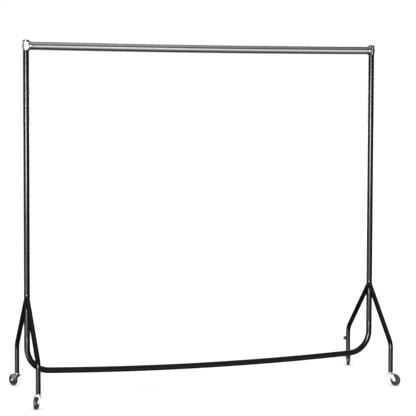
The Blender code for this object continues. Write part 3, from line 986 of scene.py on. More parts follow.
# ------------------------------------------------------------------ top of rack
@dataclass
class HangingRail:
    """The chromed rail that the hangers hook on."""

    shop: Workshop
    radius: float = 0.0175
    edge: float = 0.0008
    stations: int = 40

    def path(self) -> list[Vector]:
        """Centre line with the rail's slight sag.

        Returns:
            Its points, from the left end to the right.
        """
        low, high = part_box("top_rail")
        ends_height = high.z - self.radius
        sag = high.z - low.z - 2 * self.radius
        shares = [2 * step / self.stations - 1 for step in range(self.stations + 1)]
        return [Vector((high.x * t, 0, ends_height - sag * (1 - t * t))) for t in shares]

    def build(self) -> None:
        """Sweep the rail."""
        points, radii = eased(self.path(), self.radius, self.edge)
        mesh = self.shop.tubes.sweep("hanging_rail", points, radii, CHROME, sides=64)
        show("hanging_rail", mesh, "frame", CHROME, ["top_rail"])


@dataclass
class CornerCasting:
    """The chromed casting that joins the rail to an upright, with its bolt."""

    shop: Workshop
    end: End
    sleeve_radius: float = 0.0146
    sleeve_taper: float = 0.0006
    crown_rounding: float = 0.0060
    foot_rounding: float = 0.0009
    neck_radius: float = 0.0186
    neck_start: float = 0.0065
    neck_rounding: float = 0.0011
    flare: float = 0.0065
    bore_radius: float = 0.0132
    bore_crown: float = 0.0095
    rail_gap: float = 0.0003
    bolt_radius: float = 0.0055
    bolt_height: float = 0.0012
    bolt_edge: float = 0.0009
    bolt_floor: float = 0.0004
    bolt_gap: float = 0.0002
    recess_share: float = 0.42
    shank_share: float = 0.45
    detail: int = 6
    middle_share: float = 1.3
    search_reach: float = 0.06
    search_steps: int = 40

    def __post_init__(self) -> None:
        """Take the casting's place from the frame."""
        self.node = f"corner_connector_{self.end.label}"
        self.low, self.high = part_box(self.node)
        self.axis = centre_of(f"upright_{self.end.label}")
        self.axis.z = centre_of(f"corner_bolt_{self.end.label}").z
        _, rail_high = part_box("top_rail")
        self.neck_reach = self.end.value * self.axis.x - rail_high.x - self.rail_gap

    @staticmethod
    def rod(
        along: np.ndarray,
        across: np.ndarray,
        radius: Union[float, np.ndarray],
        span: Point2D,
        edge: Union[float, np.ndarray],
    ) -> np.ndarray:
        """Distance to a round rod with rounded edges.

        Args:
            along: Coordinates along its axis.
            across: Distances from its axis.
            radius: Its radius.
            span: Where it starts and ends.
            edge: Radius of its edges.

        Returns:
            Signed distances, negative inside.
        """
        side = across - (radius - edge)
        cap = np.maximum(span[0] + edge - along, along - span[1] + edge)
        outside = np.hypot(np.maximum(side, 0), np.maximum(cap, 0))
        return outside + np.minimum(np.maximum(side, cap), 0) - edge

    def distance(self, points: np.ndarray) -> np.ndarray:
        """Signed distance of points to the casting's skin, about its axis.

        Args:
            points: Points as rows, with X towards the rail.

        Returns:
            Distances, negative inside.
        """
        x, y, z = points.T
        foot = self.low.z - self.axis.z
        crown = self.high.z - self.axis.z
        radius = self.sleeve_radius - self.sleeve_taper * np.clip((z - foot) / (crown - foot), 0, 1)
        edge = np.where(z > 0, self.crown_rounding, self.foot_rounding)
        sleeve = self.rod(z, np.hypot(x, y), radius, (foot, crown), edge)
        neck_span = (self.neck_start, self.neck_reach)
        neck = self.rod(x, np.hypot(y, z), self.neck_radius, neck_span, self.neck_rounding)
        share = np.clip(0.5 + 0.5 * (neck - sleeve) / self.flare, 0, 1)
        return neck * (1 - share) + sleeve * share - self.flare * share * (1 - share)

    def skin(self) -> bpy.types.Mesh:
        """The casting's smooth skin, found along rays from its middle.

        Returns:
            Its closed mesh, before the bore.
        """
        editable = bmesh.new()
        bmesh.ops.create_icosphere(editable, subdivisions=self.detail, radius=1.0)
        mesh = bpy.data.meshes.new(f"corner_casting_{self.end.label}")
        editable.to_mesh(mesh)
        editable.free()
        middle = np.array([self.neck_start * self.middle_share, 0.0, 0.0])
        rays = np.array([vertex.co for vertex in mesh.vertices])
        near = np.zeros(len(rays))
        far = np.full(len(rays), self.search_reach)
        for _ in range(self.search_steps):
            probe = (near + far) / 2
            inside = self.distance(middle + rays * probe[:, None]) < 0
            near = np.where(inside, probe, near)
            far = np.where(inside, far, probe)
        points = middle + rays * near[:, None]
        mesh.vertices.foreach_set("co", points.ravel())
        turn = Matrix.Rotation(0 if self.end is End.LEFT else math.pi, 4, "Z")
        mesh.transform(Matrix.Translation(self.axis) @ turn)
        return tidy(mesh)

    def bored(self, mesh: bpy.types.Mesh) -> bpy.types.Mesh:
        """The casting with the bore that the upright sits in.

        Args:
            mesh: The casting's skin.

        Returns:
            The bored mesh.
        """
        top = self.high.z - self.bore_crown
        bottom = self.low.z - self.bore_crown
        profile = [(0, top), (self.bore_radius, top), (self.bore_radius, bottom), (0, bottom)]
        tool = add_object("bore", turned("bore", profile, sides=64))
        tool.location = (self.axis.x, 0, 0)
        casting = add_object("casting", mesh)
        modifier = casting.modifiers.new("Bore", "BOOLEAN")
        modifier.object = tool
        modifier.solver = "EXACT"
        result = plain_mesh(casting)
        bpy.data.objects.remove(tool)
        return tidy(result)

    def bolt(self) -> bpy.types.Mesh:
        """Low button head with a hexagon recess, and its shank.

        Returns:
            The bolt's mesh, in its place.
        """
        recess = self.bolt_radius * self.recess_share
        recess_edge = self.bolt_height - self.bolt_gap
        shank = self.bolt_radius * self.shank_share
        outline = rounded(
            [
                (recess + self.bolt_floor, self.bolt_height, 0),
                (self.bolt_radius, self.bolt_height, self.bolt_edge),
                (self.bolt_radius, 0, 0),
            ]
        )
        profile = [(0, self.bolt_floor), (recess, self.bolt_floor), (recess, recess_edge), *outline]
        profile += [(shank, 0), (shank, -self.sleeve_radius), (0, -self.sleeve_radius)]
        mesh = turned("corner_bolt", profile, sides=48, drive=Drive.HEX, driven=3)
        outward = Vector((self.end.value, 0, 0))
        seat = self.axis + outward * (self.sleeve_radius + self.bolt_gap)
        return moved(mesh, aimed(seat, outward))

    def build(self) -> None:
        """Make the casting and its bolt."""
        mesh = self.bored(self.skin())
        show(f"corner_casting_{self.end.label}", mesh, "frame", CAST_CHROME, [self.node])
        name = f"button_bolt_{self.end.label}"
        show(name, self.bolt(), "frame", CHROME, [f"corner_bolt_{self.end.label}"])


# ---------------------------------------------------------------- black frame
@dataclass
class Upright:
    """A black upright between the socket tube and the corner casting."""

    shop: Workshop
    end: End
    radius: float = 0.013
    edge: float = 0.0006
    seam_gap: float = 0.0003

    def build(self) -> None:
        """Sweep the upright."""
        label = self.end.label
        axis = centre_of(f"upright_{label}")
        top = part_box(f"upright_{label}")[1].z
        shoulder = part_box(f"socket_tube_{label}")[1].z + self.seam_gap
        path = [Vector((axis.x, 0, height)) for height in (shoulder, (shoulder + top) / 2, top)]
        points, radii = eased(path, self.radius, self.edge)
        mesh = self.shop.tubes.sweep(f"upright_tube_{label}", points, radii, BLACK_PAINT)
        show(f"upright_tube_{label}", mesh, "frame", BLACK_PAINT, [f"upright_{label}"])


@dataclass
class Foot:
    """A socket tube with its two welded legs."""

    shop: Workshop
    end: End
    post_radius: float = 0.013
    leg_radius: float = 0.01065
    edge: float = 0.0006
    joint_drop: float = 0.011
    bend_height: float = 0.185
    bend_radius: float = 0.060
    bend_steps: int = 18
    bead_radius: float = 0.0021
    bead_pitch: float = 0.0011
    bead_stretch: float = 1.2
    ripple_rings: tuple[int, int] = (10, 6)
    ripple_shape: Point3D = (0.55, 1.0, 0.62)
    ripple_lean: float = 24.0
    ripple_variation: float = 0.12

    def __post_init__(self) -> None:
        """Take the foot's place from the frame."""
        self.low, self.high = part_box(f"socket_tube_{self.end.label}")
        self.x = centre_of(f"socket_tube_{self.end.label}").x
        self.joint = Vector((self.x, 0, self.high.z - self.joint_drop))

    def corner(self, side: Side) -> Vector:
        """Corner of a leg's path before it is rounded."""
        y = centre_of(f"castor_insert_{self.end.label}_{side.label}").y
        return Vector((self.x, y, self.bend_height))

    def socket(self) -> bpy.types.Mesh:
        """The socket tube, with rounded ends.

        Returns:
            The tube's mesh.
        """
        heights = (self.low.z, (self.low.z + self.high.z) / 2, self.high.z)
        path = [Vector((self.x, 0, height)) for height in heights]
        points, radii = eased(path, self.post_radius, self.edge)
        return self.shop.tubes.sweep("socket", points, radii, BLACK_PAINT)

    def leg(self, side: Side) -> bpy.types.Mesh:
        """A leg, bent and with a rounded lower end.

        Args:
            side: Front or rear.

        Returns:
            The leg's mesh.
        """
        corner = self.corner(side)
        bottom = Vector((corner.x, corner.y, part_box(f"leg_{self.end.label}_{side.label}")[0].z))
        bend = fillet(self.joint, corner, bottom, self.bend_radius, self.bend_steps)
        points, radii = eased([self.joint, *bend, bottom], self.leg_radius, self.edge)
        return self.shop.tubes.sweep("leg", points, radii, BLACK_PAINT)

    def saddle(self, side: Side) -> list[Spot]:
        """Spots along the line where a leg meets the socket tube.

        Args:
            side: Front or rear.

        Returns:
            Evenly spaced spots, facing out of the corner between the tubes.
        """
        leg_way = (self.corner(side) - self.joint).normalized()
        across = Vector((1, 0, 0))
        upward = across.cross(leg_way)
        count = round(2 * math.pi * self.leg_radius * self.bead_stretch / self.bead_pitch)
        flat = math.hypot(leg_way.x, leg_way.y)
        spots = []
        for step in range(count):
            angle = 2 * math.pi * step / count
            out = across * math.cos(angle) + upward * math.sin(angle)
            rim = out * self.leg_radius
            reach = (math.sqrt(self.post_radius**2 - rim.x**2) - rim.y * side.value) / flat
            place = self.joint + rim + leg_way * reach
            socket_out = Vector((place.x - self.x, place.y, 0)).normalized()
            facing = (socket_out + out).normalized()
            tangent = socket_out.cross(out).normalized()
            spots.append(Spot(place, facing, tangent))
        return spots

    def ripple(self) -> bpy.types.Mesh:
        """One ripple of a weld bead: a flattened drop that leans back.

        Returns:
            The ripple's mesh.
        """
        round_sides, levels = self.ripple_rings
        editable = bmesh.new()
        bmesh.ops.create_uvsphere(
            editable, u_segments=round_sides, v_segments=levels, radius=self.bead_radius
        )
        mesh = bpy.data.meshes.new("ripple")
        editable.to_mesh(mesh)
        editable.free()
        lean = Matrix.Rotation(math.radians(self.ripple_lean), 4, "Y")
        mesh.transform(lean @ Matrix.Diagonal((*self.ripple_shape, 1.0)))
        return mesh

    def build(self) -> None:
        """Make the socket tube, its legs and their welds."""
        label = self.end.label
        show(f"socket_{label}", self.socket(), "frame", BLACK_PAINT, [f"socket_tube_{label}"])
        for side in Side:
            name = f"{label}_{side.label}"
            show(f"bent_leg_{name}", self.leg(side), "frame", BLACK_PAINT, [f"leg_{name}"])
            bead = self.shop.copies.scatter(
                f"weld_bead_{name}",
                self.ripple(),
                self.saddle(side),
                BLACK_PAINT,
                variation=self.ripple_variation,
            )
            show(f"weld_bead_{name}", bead, "frame", BLACK_PAINT, [])


@dataclass
class BaseRail:
    """The U-shaped base rail, in two halves that meet in the middle."""

    shop: Workshop
    radius: float = 0.013
    edge: float = 0.0005
    bend_height: float = 0.113
    bend_radius: float = 0.100
    bend_steps: int = 24
    run_steps: int = 24
    seam_gap: float = 0.0003

    def __post_init__(self) -> None:
        """Take the sag from the frame."""
        low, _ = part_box("base_rail_right")
        self.end_x = centre_of("socket_tube_right").x
        self.sag = self.bend_height - self.radius - low.z

    def height(self, x: float) -> float:
        """Height of the centre line at x."""
        return self.bend_height - self.sag * (1 - (x / self.end_x) ** 2)

    def half(self, end: End) -> bpy.types.Mesh:
        """One half: a sagging run, a bend and a riser.

        Args:
            end: The half's end of the rack.

        Returns:
            The half's mesh.
        """
        first = self.seam_gap / 2
        last = self.end_x - self.bend_radius
        stations = [first + (last - first) * step / self.run_steps for step in range(self.run_steps)]
        run = [Vector((end.value * x, 0, self.height(x))) for x in stations]
        before = Vector((end.value * last, 0, self.height(last)))
        corner = Vector((end.value * self.end_x, 0, self.bend_height))
        top_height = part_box(f"socket_tube_{end.label}")[0].z - self.seam_gap
        top = Vector((end.value * self.end_x, 0, top_height))
        bend = fillet(before, corner, top, self.bend_radius, self.bend_steps)
        points, radii = eased([*run, *bend, top], self.radius, self.edge)
        return self.shop.tubes.sweep("base_rail", points, radii, BLACK_PAINT)

    def build(self) -> None:
        """Make both halves."""
        for end in End:
            name = f"base_tube_{end.label}"
            show(name, self.half(end), "frame", BLACK_PAINT, [f"base_rail_{end.label}"])


@dataclass
class FrameScrews:
    """Pan-head screws of the socket tubes and of the base rail's joint."""

    shop: Workshop
    radius: float = 0.0042
    height: float = 0.0024
    shoulder_share: float = 0.8
    shoulder_rounding: float = 0.0011
    shank: float = 0.002
    grip: float = 0.004
    recess: float = 0.0024
    recess_taper: float = 0.8
    recess_floor: float = 0.25
    recess_lip: float = 0.96
    lip: float = 0.0003
    socket_slot: Point3D = (1, 0, 0.4)
    joiner_slot: Point3D = (1, 0.3, 0)

    def head(self) -> bpy.types.Mesh:
        """One screw, its head standing on z = 0.

        Returns:
            The screw's mesh.
        """
        dome = rounded(
            [
                (self.recess + self.lip, self.height, 0),
                (self.radius, self.height * self.shoulder_share, self.shoulder_rounding),
                (self.radius, 0, 0),
            ]
        )
        floor = self.height * self.recess_floor
        rim = self.height * self.recess_lip
        profile = [(0, floor), (self.recess * self.recess_taper, floor), (self.recess, rim), *dome]
        profile += [(self.shank, 0), (self.shank, -self.grip), (0, -self.grip)]
        return turned("screw", profile, sides=32, drive=Drive.CROSS, driven=3)

    def spots(self) -> dict[str, Spot]:
        """Where each screw stands.

        Returns:
            Its spot by its node's name.
        """
        found = {}
        for end in End:
            for level in ("upper", "lower"):
                node = f"socket_screw_{level}_{end.label}"
                low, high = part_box(node)
                seat = Vector(((low.x + high.x) / 2, high.y - self.height, (low.z + high.z) / 2))
                found[node] = Spot(seat, Vector((0, 1, 0)), Vector(self.socket_slot))
            node = f"joiner_screw_{end.label}"
            low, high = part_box(node)
            seat = Vector(((low.x + high.x) / 2, 0, low.z + self.height))
            found[node] = Spot(seat, Vector((0, 0, -1)), Vector(self.joiner_slot))
        return found

    def build(self) -> None:
        """Make the six screws as one group."""
        spots = self.spots()
        mesh = self.shop.copies.scatter("frame_screws", self.head(), list(spots.values()), ZINC)
        show("frame_screws", mesh, "frame", ZINC, list(spots))


@dataclass
class LegStud:
    """The small rubber bumper on the inner face of one leg."""

    leg_radius: float = 0.01065
    radius: float = 0.0085
    face: float = 0.0068
    foot: float = 0.0062
    root: float = 0.0012
    rounding: float = 0.0012
    side_share: float = 0.62
    neck_share: float = 0.25
    neck_rounding: float = 0.0006
    collar_share: float = 0.18
    collar_rounding: float = 0.0003

    def build(self) -> None:
        """Turn the bumper, with a collar where it meets the leg."""
        low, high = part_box("leg_stud")
        leg_face = centre_of("leg_right_rear").x - self.leg_radius
        reach = leg_face - low.x
        profile = rounded(
            [
                (0, reach, 0),
                (self.face, reach, self.rounding),
                (self.radius, reach * self.side_share, self.rounding),
                (self.radius, reach * self.neck_share, self.neck_rounding),
                (self.foot, reach * self.collar_share, self.collar_rounding),
                (self.foot, -self.root, 0),
                (0, -self.root, 0),
            ]
        )
        mesh = turned("bumper", profile, sides=40)
        seat = Vector((leg_face, (low.y + high.y) / 2, (low.z + high.z) / 2))
        show("leg_bumper", moved(mesh, aimed(seat, (-1, 0, 0))), "frame", RUBBER, ["leg_stud"])


# --------------------------------------------------------------------- castors
@dataclass
class Fork:
    """Pressed steel fork of a castor, about its swivel axis and trailing to +X."""

    axle: Vector
    tip: float
    crown: float
    thickness: float = 0.0018
    arm_half_width: float = 0.0096
    crown_half_width: float = 0.0130
    crown_rear: float = -0.0112
    crown_front: float = 0.018
    crown_rounding: float = 0.0034
    plan_rounding: float = 0.006
    plan_depth: float = 0.004
    arm_rounding: float = 0.006
    shoulder_drop: float = 0.0075
    shoulder_rounding: float = 0.008
    tip_radius: float = 0.0065
    brow_reach: float = 0.007
    brow_rounding: float = 0.010
    heel_drop: float = 0.0058
    heel_rounding: float = 0.004
    edge: float = 0.00035
    columns: int = 16
    row_height: float = 0.0013
    corner_steps: int = 7

    def section(self) -> list[Point2D]:
        """The strip's outer line across the castor.

        Returns:
            Its (y, z) points, from arm tip to arm tip.
        """
        half = rounded(
            [
                (self.arm_half_width, self.tip, 0),
                (self.arm_half_width, self.axle.z + self.tip_radius, self.arm_rounding),
                (self.crown_half_width, self.crown - self.shoulder_drop, self.shoulder_rounding),
                (self.crown_half_width, self.crown, self.crown_rounding),
                (0, self.crown, 0),
            ],
            steps=self.corner_steps,
        )
        fine: list[Point2D] = []
        for (y, z), (next_y, next_z) in zip(half, half[1:]):
            pieces = max(1, round(math.hypot(next_y - y, next_z - z) / self.row_height))
            for step in range(pieces):
                share = step / pieces
                fine.append((y + (next_y - y) * share, z + (next_z - z) * share))
        return [*fine, (0, self.crown), *[(-y, z) for y, z in reversed(fine)]]

    def edges(self) -> tuple[list[Point2D], list[Point2D]]:
        """Rear and front edges of the side outline.

        Returns:
            The two edges as rising (x, z) points.
        """
        bottom = (self.axle.x, self.tip)
        tip = self.tip_radius
        front_tangent = (self.axle.x + tip, self.axle.z)
        arc = [math.radians(angle) for angle in range(-80, 0, 10)]
        front_arc = [(self.axle.x + tip * math.cos(a), self.axle.z + tip * math.sin(a)) for a in arc]
        rear_arc = [
            (self.axle.x - tip * math.cos(a), self.axle.z + tip * math.sin(a)) for a in arc[:4]
        ]
        brow = (
            self.crown_front + self.brow_reach,
            self.crown - self.thickness - self.brow_reach,
            self.brow_rounding,
        )
        heel = (self.crown_rear, self.crown - self.heel_drop, self.heel_rounding)
        front_rise = rounded([(*front_tangent, 0), brow, (self.crown_front, self.crown, 0)])
        rear_rise = rounded([(*rear_arc[-1], 0), heel, (self.crown_rear, self.crown, 0)])
        return [bottom, *rear_arc, *rear_rise[1:]], [bottom, *front_arc, *front_rise]

    def mesh(self) -> bpy.types.Mesh:
        """The pressed strip with its thickness and softened edges.

        Returns:
            The fork's mesh.
        """
        rear, front = self.edges()
        section = self.section()
        heights = [z for _, z in section]
        rear_x = np.interp(heights, [z for _, z in rear], [x for x, _ in rear])
        front_x = np.interp(heights, [z for _, z in front], [x for x, _ in front])
        vertices = []
        for (y, z), low, high in zip(section, rear_x, front_x):
            corner = self._plan_rounding(y, z)
            for column in range(self.columns + 1):
                share = column / self.columns
                vertices.append((low + corner + (high - low - 2 * corner) * share, y, z))
        width = self.columns + 1
        faces = [
            (row * width + i, row * width + i + 1, (row + 1) * width + i + 1, (row + 1) * width + i)
            for row in range(len(section) - 1)
            for i in range(self.columns)
        ]
        mesh = bpy.data.meshes.new("fork")
        mesh.from_pydata(vertices, [], faces)
        obj = add_object("fork", mesh)
        solidify = obj.modifiers.new("Sheet", "SOLIDIFY")
        solidify.thickness = self.thickness
        solidify.offset = self._inward(mesh)
        solidify.use_even_offset = True
        bevel = obj.modifiers.new("Edges", "BEVEL")
        bevel.width = self.edge
        bevel.segments = 2
        bevel.limit_method = "ANGLE"
        bevel.angle_limit = math.radians(50)
        return tidy(plain_mesh(obj))

    def _plan_rounding(self, y: float, z: float) -> float:
        """How far the crown's rounded corners draw in at a point.

        Args:
            y: The point's place across the castor.
            z: Its height.

        Returns:
            The distance along the castor.
        """
        radius = self.plan_rounding
        past = min(max(0.0, abs(y) - self.crown_half_width + radius), radius)
        if z <= self.crown - self.plan_depth:
            return 0.0
        return radius - math.sqrt(radius**2 - past**2)

    @staticmethod
    def _inward(mesh: bpy.types.Mesh) -> float:
        """Solidify offset that puts the thickness on the inner side."""
        top = max(mesh.polygons, key=lambda face: face.center.z)
        return -1.0 if top.normal.z > 0 else 1.0


@dataclass
class Wheel:
    """Hub and tyre of a castor, about the axle's middle with the axle along Y."""

    radius: float
    tyre_depth: float = 0.0055
    half_width: float = 0.0070
    hub_half_width: float = 0.0060
    boss_radius: float = 0.0065
    boss_half_width: float = 0.0075
    bore: float = 0.0032
    web_half: float = 0.0018
    rim_thickness: float = 0.0026
    fit: float = 0.0002
    wall_step: float = 0.0004
    wall_ring: float = 0.0022
    wall_rounding: float = 0.0016
    tread_share: float = 0.42
    tread_rounding: float = 0.0030
    parting: Point2D = (0.0003, 0.0002)
    fine_edge: float = 0.0003
    boss_edge: float = 0.0006
    web_rounding: float = 0.0010
    rim_edge: float = 0.0005
    ribs: int = 8
    rib_thickness: float = 0.0013
    rib_drop: float = 0.0012

    def tyre(self) -> bpy.types.Mesh:
        """Tyre with a rounded tread, a parting band and a step on its wall.

        Returns:
            The tyre's mesh.
        """
        bore = self.radius - self.tyre_depth
        wall = self.half_width
        ring = bore + self.wall_ring
        half = rounded(
            [
                (bore, wall - self.wall_step, 0),
                (ring, wall - self.wall_step, self.fine_edge),
                (ring + self.wall_step, wall, self.fine_edge),
                (self.radius - self.wall_ring, wall, self.wall_rounding),
                (self.radius, wall * self.tread_share, self.tread_rounding),
                (self.radius, self.parting[0], 0),
            ]
        )
        half.append((self.radius, self.parting[1]))
        return self.laid(turned("tyre", [*half, *[(r, -z) for r, z in reversed(half)]], sides=96))

    def hub(self, shop: Workshop) -> bpy.types.Mesh:
        """Hub with its rim, web, boss and ribs.

        Args:
            shop: The shared node trees.

        Returns:
            The hub's mesh.
        """
        rim = self.radius - self.tyre_depth - self.fit
        rim_inner = rim - self.rim_thickness
        half = rounded(
            [
                (self.bore, self.boss_half_width, 0),
                (self.boss_radius, self.boss_half_width, self.boss_edge),
                (self.boss_radius + self.wall_step, self.web_half, self.web_rounding),
                (rim_inner - self.wall_step, self.web_half, self.web_rounding),
                (rim_inner, self.hub_half_width, self.rim_edge),
                (rim, self.hub_half_width, 0),
            ]
        )
        body = turned("hub", [*half, *[(r, -z) for r, z in reversed(half)]], sides=64)
        reach = (self.boss_radius + rim_inner) / 2
        spots = []
        for step in range(self.ribs):
            angle = 2 * math.pi * (step + 0.5) / self.ribs
            way = Vector((math.cos(angle), math.sin(angle), 0))
            spots.append(Spot(way * reach, Vector((0, 0, 1)), way))
        ribs = shop.copies.scatter("ribs", self.rib(rim_inner - self.boss_radius), spots, PLASTIC)
        return self.laid(joined("hub", [body, ribs]))

    def rib(self, length: float) -> bpy.types.Mesh:
        """One rib that crosses the web on both sides.

        Args:
            length: From the boss to the rim.

        Returns:
            The rib's mesh, along X.
        """
        editable = bmesh.new()
        bmesh.ops.create_cube(editable, size=1.0)
        depth = 2 * (self.hub_half_width - self.rib_drop)
        scale = Matrix.Diagonal((length + self.rib_drop, self.rib_thickness, depth, 1.0))
        bmesh.ops.transform(editable, matrix=scale, verts=editable.verts)
        edges = editable.edges[:]
        bmesh.ops.bevel(editable, geom=edges, offset=self.fine_edge, segments=1, affect="EDGES")
        mesh = bpy.data.meshes.new("rib")
        editable.to_mesh(mesh)
        editable.free()
        return mesh

    @staticmethod
    def laid(mesh: bpy.types.Mesh) -> bpy.types.Mesh:
        """A mesh turned about Z, laid so that its axis is Y."""
        mesh.transform(Matrix.Rotation(-math.pi / 2, 4, "X"))
        return mesh


@dataclass
class Castor:
    """A swivel castor under one leg."""

    shop: Workshop
    end: End
    side: Side
    flange_radius: float = 0.01065
    washer_radius: float = 0.0095
    stem_radius: float = 0.0045
    stem_head: float = 0.0070
    stem_edge: float = 0.0012
    head_height: float = 0.0014
    head_taper: float = 0.9
    head_edge: float = 0.0006
    bore_gap: float = 0.0004
    lip_height: float = 0.0016
    lip_reach: float = 0.0021
    rivet_radius: float = 0.0047
    rivet_height: float = 0.0015
    rivet_crown: float = 0.8
    rivet_rounding: float = 0.0008
    dimple_share: float = 0.35
    dimple_floor: float = 0.6
    axle_radius: float = 0.0029
    fine_edge: float = 0.0003
    insert_edge: float = 0.0005
    soft_edge: float = 0.0004
    round_edge: float = 0.0008

    def __post_init__(self) -> None:
        """Take the castor's place and heading from the frame."""
        self.label = f"{self.end.label}_{self.side.label}"
        axle = centre_of(f"castor_axle_{self.label}")
        stem = centre_of(f"castor_stem_{self.label}")
        offset = Vector((axle.x - stem.x, axle.y - stem.y, 0))
        self.heading = math.atan2(offset.y, offset.x)
        self.axle = Vector((offset.length, 0, axle.z))
        turn = Matrix.Rotation(self.heading, 4, "Z")
        self.place = Matrix.Translation((stem.x, stem.y, 0)) @ turn
        self.wheel_place = self.place @ Matrix.Translation(self.axle)

    def span(self, piece: str) -> Point2D:
        """Lowest and highest height of one of the castor's nodes."""
        low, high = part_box(f"{piece}_{self.label}")
        return low.z, high.z

    def put(self, piece: str, mesh: bpy.types.Mesh, body: str, finish: Finish, node: str) -> None:
        """Show a mesh made about the swivel axis.

        Args:
            piece: The piece's name without the castor's.
            mesh: Its mesh.
            body: "frame", "swivel" or "wheel".
            finish: Its surface finish.
            node: The node that it stands for, without the castor's name.
        """
        place = self.wheel_place if body == "wheel" else self.place
        rides_on = body if body == "frame" else f"{body}_{self.label}"
        nodes = [f"{node}_{self.label}"]
        show(f"{piece}_{self.label}", moved(mesh, place), rides_on, finish, nodes)

    def insert(self) -> bpy.types.Mesh:
        """Flanged plastic insert in the end of the leg.

        Returns:
            The insert's mesh.
        """
        low, high = self.span("castor_insert")
        bore = self.stem_radius + self.bore_gap
        lip = low + self.lip_height
        body = self.flange_radius - self.lip_reach
        profile = rounded(
            [
                (bore, low, 0),
                (self.flange_radius, low, self.insert_edge),
                (self.flange_radius, lip, self.fine_edge),
                (body, lip, 0),
                (body, high, self.round_edge),
                (bore, high, 0),
            ]
        )
        return turned("insert", profile, sides=48)

    def washer(self) -> bpy.types.Mesh:
        """Thrust washer with softened edges.

        Returns:
            The washer's mesh.
        """
        low, high = self.span("castor_washer")
        bore = self.stem_radius + self.bore_gap
        profile = rounded(
            [
                (bore, low, 0),
                (self.washer_radius, low, self.soft_edge),
                (self.washer_radius, high, self.soft_edge),
                (bore, high, 0),
            ]
        )
        return turned("washer", profile, sides=48)

    def stem(self) -> bpy.types.Mesh:
        """Swivel stem, with its riveted head under the crown.

        Returns:
            The stem's mesh.
        """
        low, high = self.span("castor_stem")
        seat = low + self.head_height
        profile = rounded(
            [
                (0, high, 0),
                (self.stem_radius, high, self.stem_edge),
                (self.stem_radius, seat, 0),
                (self.stem_head, seat, self.soft_edge),
                (self.stem_head * self.head_taper, low, self.head_edge),
                (0, low, 0),
            ]
        )
        return turned("stem", profile, sides=40)

    def axle_rivet(self) -> bpy.types.Mesh:
        """Axle with a domed, dimpled rivet head outside each arm.

        Returns:
            The axle's mesh.
        """
        low, high = -self.axle_half(), self.axle_half()
        dimple = self.rivet_radius * self.dimple_share
        top = self.rivet_height
        dome = rounded(
            [
                (dimple, top, 0),
                (self.rivet_radius * self.rivet_crown, top, self.rivet_rounding),
                (self.rivet_radius, self.soft_edge, self.fine_edge),
                (self.rivet_radius, 0, 0),
            ]
        )
        floor = [(0, top - self.soft_edge), (dimple * self.dimple_floor, top - self.fine_edge)]
        profile = [*floor, *dome]
        head = turned("rivet", [*profile, (0, 0)], sides=32)
        spots = [
            Spot(Vector((0, place, 0)), Vector((0, way, 0)), Vector((1, 0, 0)))
            for place, way in ((low, -1), (high, 1))
        ]
        heads = self.shop.copies.scatter("rivets", head, spots, ZINC)
        rod_profile = [(0, high), (self.axle_radius, high), (self.axle_radius, low), (0, low)]
        rod = Wheel.laid(turned("axle", rod_profile, sides=32))
        return moved(joined("axle", [rod, heads]), Matrix.Translation(self.axle))

    def axle_half(self) -> float:
        """From the axle's middle to a rivet head's seat."""
        return Fork(self.axle, 0, 0).arm_half_width

    def build(self) -> None:
        """Make every piece of the castor."""
        tip, crown = self.span("castor_fork")
        wheel = Wheel(self.axle.z)
        self.put("leg_insert", self.insert(), "frame", PLASTIC, "castor_insert")
        self.put("thrust_washer", self.washer(), "swivel", ZINC, "castor_washer")
        self.put("swivel_stem", self.stem(), "swivel", ZINC, "castor_stem")
        self.put("pressed_fork", Fork(self.axle, tip, crown).mesh(), "swivel", ZINC, "castor_fork")
        self.put("riveted_axle", self.axle_rivet(), "swivel", ZINC, "castor_axle")
        self.put("hub", wheel.hub(self.shop), "wheel", PLASTIC, "wheel_hub")
        self.put("tyre", wheel.tyre(), "wheel", RUBBER, "wheel_tyre")


# ---------------------------------------------------------------------- studio
@dataclass(frozen=True)
class Softbox:
    """A soft light that shows in glossy surfaces.

    Args:
        name: The light's name.
        place: Where it hangs.
        target: What it faces.
        size: Width and height.
        energy: Watts.
    """

    name: str
    place: Point3D
    target: Point3D
    size: Point2D
    energy: float

    def build(self) -> None:
        """Hang the light."""
        lamp = bpy.data.lights.new(self.name, "AREA")
        lamp.shape = "RECTANGLE"
        lamp.size, lamp.size_y = self.size
        lamp.energy = self.energy
        obj = bpy.data.objects.new(self.name, lamp)
        bpy.context.scene.collection.objects.link(obj)
        obj.location = self.place
        away = Vector(self.target) - Vector(self.place)
        obj.rotation_euler = away.to_track_quat("-Z", "Y").to_euler()
        obj.visible_camera = False
        obj.visible_diffuse = False


@dataclass(frozen=True)
class Glow:
    """A soft round patch of light on the studio's walls, seen in glossy surfaces.

    Args:
        way: Direction towards its middle.
        inner: Angle from the middle where it starts to fade, in degrees.
        outer: Angle where it ends, in degrees.
        strength: Radiance at its middle.
    """

    way: Point3D
    inner: float
    outer: float
    strength: float

    def signal(self, sheet: NodeSheet, looking: Signal) -> Signal:
        """Radiance of the patch in a direction.

        Args:
            sheet: The world's node sheet.
            looking: The direction.

        Returns:
            The radiance.
        """
        middle = Vector(self.way).normalized()
        dot = {"operation": "DOT_PRODUCT"}
        closeness = sheet.node("ShaderNodeVectorMath", dot, {0: looking, 1: middle}, output="Value")
        ends = [math.cos(math.radians(angle)) for angle in (self.outer, self.inner)]
        return closeness.between(*ends) * self.strength


@dataclass(frozen=True)
class Band:
    """A soft-edged range of a value.

    Args:
        rise: Where it climbs from 0 to 1.
        fall: Where it sinks back to 0, if it does.
    """

    rise: Point2D
    fall: Optional[Point2D] = None

    def signal(self, value: Signal) -> Signal:
        """How far a value lies in the band.

        Args:
            value: The value.

        Returns:
            1 inside, 0 outside.
        """
        risen = value.between(*self.rise)
        if self.fall is None:
            return risen
        return risen * (1.0 - value.between(*self.fall))


